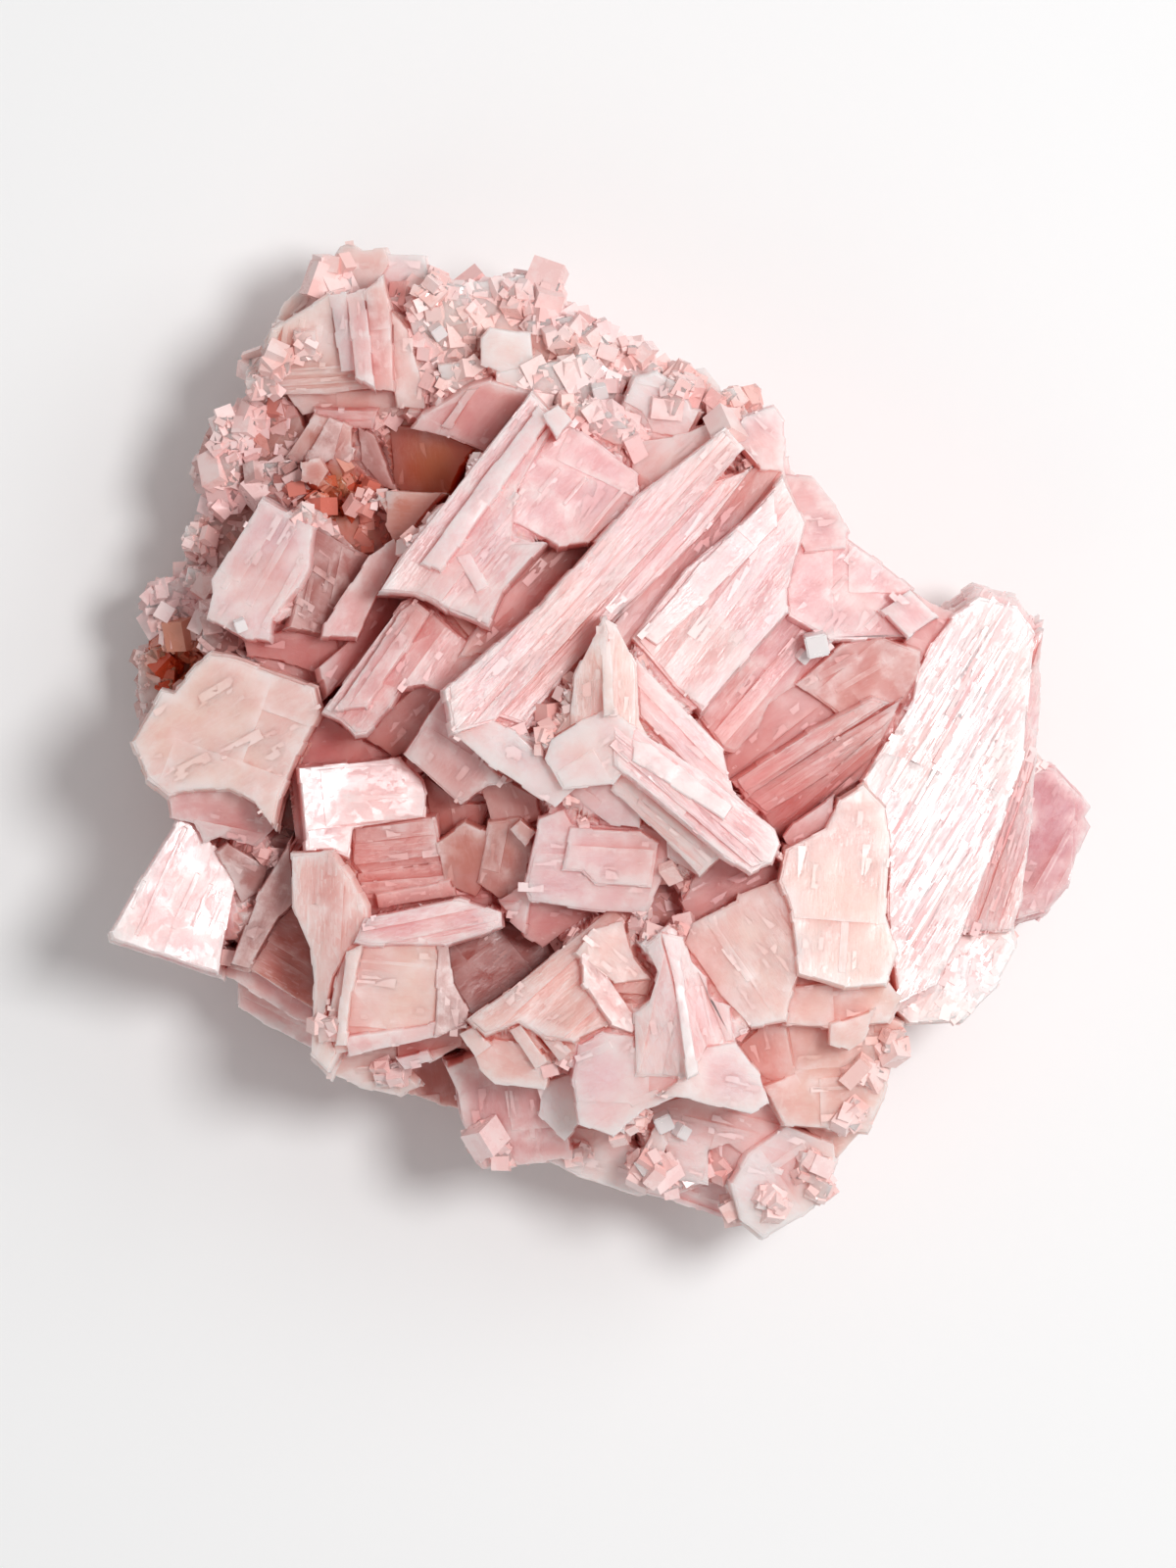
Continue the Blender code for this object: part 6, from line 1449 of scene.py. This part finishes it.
def scatterTree(material):
    tree = bpy.data.node_groups.new("scatterBlocks", "GeometryNodeTree")
    face = tree.interface
    face.new_socket("Geometry", in_out="INPUT", socket_type="NodeSocketGeometry")
    kinds = {"Where": "String", "Least": "Vector", "Greatest": "Vector", "Wobble": "Vector", "Seed": "Int"}
    for name in scatters["growthSteps"]:
        face.new_socket(name, in_out="INPUT", socket_type="NodeSocket" + kinds.get(name, "Float"))
    face.new_socket("Geometry", in_out="OUTPUT", socket_type="NodeSocketGeometry")
    wire = Wire(tree)
    given = {socket.name: Wire(tree, socket) for socket in tree.nodes.new("NodeGroupInput").outputs}
    seed = given["Seed"]

    def chance(kind, low, high, number):
        start = 0 if kind == "FLOAT_VECTOR" else 2
        return wire.add("FunctionNodeRandomValue", {"data_type": kind},
                        {start: low, start + 1: high, "Seed": seed + number}, out=0 if start == 0 else 1)

    def vector(operation, first, second):
        return wire.add("ShaderNodeVectorMath", {"operation": operation}, {0: first, 1: second})

    def named(name, kind, out=0):
        return wire.add("GeometryNodeInputNamedAttribute", {"data_type": kind}, {"Name": name}, out=out)

    chosen = wire.add("FunctionNodeCompare", {"data_type": "FLOAT", "operation": "GREATER_THAN"},
                      {0: named(given["Where"], "FLOAT"), 1: given["Above"]})
    spread = wire.add("GeometryNodeDistributePointsOnFaces", None, {
        "Mesh": given["Geometry"], "Selection": chosen, "Density": given["Density"], "Seed": seed})
    normal = Wire(tree, spread.socket.node.outputs["Normal"])
    turn = wire.add("FunctionNodeAxesToRotation", {"primary_axis": "Z", "secondary_axis": "X"},
                    {"Primary Axis": normal, "Secondary Axis": named("heading", "FLOAT_VECTOR")})
    wobble = vector("MULTIPLY", chance("FLOAT_VECTOR", (-1, -1, -1), (1, 1, 1), 1), given["Wobble"])
    wobble = wire.add("FunctionNodeEulerToRotation", None, {"Euler": wobble})
    turn = wire.add("FunctionNodeRotateRotation", {"rotation_space": "LOCAL"}, {0: turn, 1: wobble})
    share = chance("FLOAT", 0.0, 1.0, 2) ** given["Power"]
    scale = wire.add("ShaderNodeMix", {"data_type": "VECTOR"},
                     {0: share, 4: given["Least"], 5: given["Greatest"]}, out=1)
    scale = vector("MULTIPLY", scale, chance("FLOAT_VECTOR", *sizeSpread, 3))
    room = named("reach", "FLOAT") * 2.0  # so that no block passes its crystal's outline
    room = wire.add("ShaderNodeCombineXYZ", None, {0: room, 1: room, 2: 1.0})
    scale = vector("MINIMUM", scale, room)
    block = wire.add("GeometryNodeMeshCube", None, {"Size": (1, 1, 1)})
    block = wire.add("GeometryNodeTransform", None, {"Geometry": block, "Translation": (0, 0, -0.5)})
    made = wire.add("GeometryNodeInstanceOnPoints", None,
                    {"Points": spread, "Instance": block, "Rotation": turn, "Scale": scale})
    rise = given["Least rise"] + (given["Greatest rise"] - given["Least rise"]) * chance("FLOAT", 0.0, 1.0, 4)
    depth = wire.add("ShaderNodeSeparateXYZ", None, {0: scale}, out=2)
    lift = wire.add("ShaderNodeCombineXYZ", None, {2: rise * depth})
    made = wire.add("GeometryNodeTranslateInstances", None, {"Instances": made, "Translation": lift})
    paleness = given["Paleness"] * chance("FLOAT", 0.0, 1.0, 5) ** 1.5
    pale = named("tint", "FLOAT_COLOR").mix(paleness, tints["milk"])
    for name, kind, value in (("tint", "FLOAT_COLOR", pale), ("gloss", "FLOAT", given["Shine"])):
        made = wire.add("GeometryNodeStoreNamedAttribute", {"data_type": kind, "domain": "INSTANCE"},
                        {"Geometry": made, "Name": name, "Value": value})
    made = wire.add("GeometryNodeRealizeInstances", None, {0: made})
    made = wire.add("GeometryNodeSetMaterial", None, {"Geometry": made, "Material": material})
    tree.links.new(made.socket, tree.nodes.new("NodeGroupOutput").inputs[0])
    return tree


def scattered(name, tree, values):
    holder = placed(name + "Holder", salt.data.copy())
    change = holder.modifiers.new("scatter", "NODES")
    change.node_group = tree
    sockets = {item.name: item.identifier for item in tree.interface.items_tree if item.in_out == "INPUT"}
    for key, value in values.items():
        value = [part * mm for part in value] if key in lengths else value
        change[sockets[key]] = value / mm ** 2 if key == "Density" else value
    mesh = evaluatedMesh(holder)
    bpy.data.objects.remove(holder)
    spots = np.clip(readOut(mesh.vertices, "co", 3), np.array(low, np.float32), np.array(high, np.float32))
    mesh.vertices.foreach_set("co", spots.ravel())
    mesh.name = name
    piece = placed(name, mesh)
    print(name, len(mesh.polygons), "faces")
    return piece


blocks = scatterTree(fineHalite)
scatteredPieces = [scattered(name, blocks, values) for name, values in scatters.items()]


# A few glassy cubes of clear salt that stand on the faces: (place on the plan, edge in mm, turn and tilt).
clearCubes = (
    ((83.2, 65.8), 2.3, 12, 14), ((81.9, 67.0), 1.2, 50, 30), ((67.7, 114.6), 1.8, 25, 20),
    ((69.6, 115.6), 1.4, 60, 35), ((61.2, 39.8), 1.5, 15, 30), ((44.6, 33.6), 1.4, 35, 30),
    ((24.6, 63.8), 1.2, 20, 20),
)
clearLook = {
    "tint": (1.0, 0.96, 0.96),
    "haze": (0.99, 0.97, 0.96),
    "hazeScale": 900.0,  # clouds of it to the metre
    "transmission": 0.2,  # with more the cubes come out grey
    "absorbed": (0.95, 0.75, 0.73),
    "absorption": 40.0,  # to the metre
    "lift": 0.32,  # how far a cube's middle stands over the face, as a share of its edge
    "bevel": 0.07,  # as a share of its edge
}


def clearMaterial():
    material, wire, shader = newMaterial("clearHalite")
    place = wire.add("ShaderNodeTexCoord", out=3)
    cloud = noiseOf(wire, place, clearLook["hazeScale"])
    colour = wire.add("ShaderNodeMix", {"data_type": "RGBA"}, {
        0: cloud.ramp(0.4, 0.7), 6: (*clearLook["tint"], 1), 7: (*clearLook["haze"], 1)}, out=2)
    wire.feed(shader, {"Base Color": colour, "Roughness": cloud.ramp(0.45, 0.7) * 0.25 + 0.03,
                       "Transmission Weight": clearLook["transmission"], "IOR": saltIor})
    volume = wire.add("ShaderNodeVolumeAbsorption", None,
                      {"Color": (*clearLook["absorbed"], 1), "Density": clearLook["absorption"]})
    wire.feed(material.node_tree.nodes["Material Output"], {"Volume": volume})
    return material


def growClearCubes():
    bm = bmesh.new()
    for place, edge, spin, tilt in clearCubes:
        found = groundUnder(saltTree, onPlan(place))[0]
        turn = Matrix.Rotation(math.radians(spin), 4, "Z") @ Matrix.Rotation(math.radians(tilt), 4, "X")
        move = Matrix.Translation(found + Vector((0, 0, edge * clearLook["lift"] * mm)))
        made = bmesh.ops.create_cube(bm, size=edge * mm, matrix=move @ turn)
        edges = list({line for vert in made["verts"] for line in vert.link_edges})
        bmesh.ops.bevel(bm, geom=edges, offset=edge * clearLook["bevel"] * mm, segments=2, affect="EDGES")
    mesh = bpy.data.meshes.new("clearCrystals")
    bm.to_mesh(mesh)
    bm.free()
    mesh.materials.append(clearMaterial())
    return placed("clearCrystals", mesh)


saltTree = BVHTree.FromPolygons([vert.co for vert in salt.data.vertices],
                                [tuple(face.vertices) for face in salt.data.polygons])
clearCrystals = growClearCubes()
print("clear crystals", len(clearCrystals.data.polygons), "faces")

for bodies in (plain, grown, holes, below, massive):
    for helper in list(bodies.group.objects):
        bpy.data.objects.remove(helper)
    bpy.data.collections.remove(bodies.group)

# Camera straight above, plain white floor, and soft light from the right.
studio = {
    "camera": (-0.0017, -0.0046, 0.93),  # metres
    "lens": 202.5,  # mm, before a sensor this wide
    "sensor": 36.0,
    "clip": (0.05, 5.0),  # metres
    "floor": (0.93, 0.93, 0.93),
    "floorHalf": 2.0,  # metres, half its width
}
camera = placed("camera", bpy.data.cameras.new("camera"))
camera.location = studio["camera"]
camera.data.lens = studio["lens"]
camera.data.sensor_width = studio["sensor"]
camera.data.clip_start, camera.data.clip_end = studio["clip"]
bpy.context.scene.camera = camera

half = studio["floorHalf"]
floorMesh = bpy.data.meshes.new("floor")
floorCorners = [(-half, -half, 0), (half, -half, 0), (half, half, 0), (-half, half, 0)]
floorMesh.from_pydata(floorCorners, [], [(0, 1, 2, 3)])
floor = placed("floor", floorMesh)
material, wire, shader = newMaterial("floorWhite")
wire.feed(shader, {"Base Color": (*studio["floor"], 1), "Roughness": 0.9, "Specular IOR Level": 0.1})
floor.data.materials.append(material)

light = {
    "sky": 0.36,
    "key": (1.6, 0.55, (0.62, 0.30, 0.62)),  # watts, width and place in metres
    "glare": (2.9, 0.19, (0.245, 0.075, 0.705)),
    "front": (0.6, 0.6, (-0.35, -0.6, 0.8)),
}


def addLight(name, power, width, place):
    lamp = bpy.data.lights.new(name, "AREA")
    lamp.shape, lamp.size, lamp.energy = "DISK", width, power
    obj = placed(name, lamp)
    obj.location = place
    obj.rotation_euler = (Vector((0, 0, 0.03)) - Vector(place)).to_track_quat("-Z", "Y").to_euler()


for name in ("key", "glare", "front"):
    addLight(name, *light[name])
world = bpy.data.worlds.new("studio")
world.use_nodes = True
world.node_tree.nodes["Background"].inputs["Color"].default_value = (1, 1, 1, 1)
world.node_tree.nodes["Background"].inputs["Strength"].default_value = light["sky"]
bpy.context.scene.world = world
bpy.context.scene.view_settings.view_transform = "Standard"
print("stage set")

for piece in (salt, clearCrystals, *scatteredPieces):
    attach(piece, "root")
    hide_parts("halite_cluster")
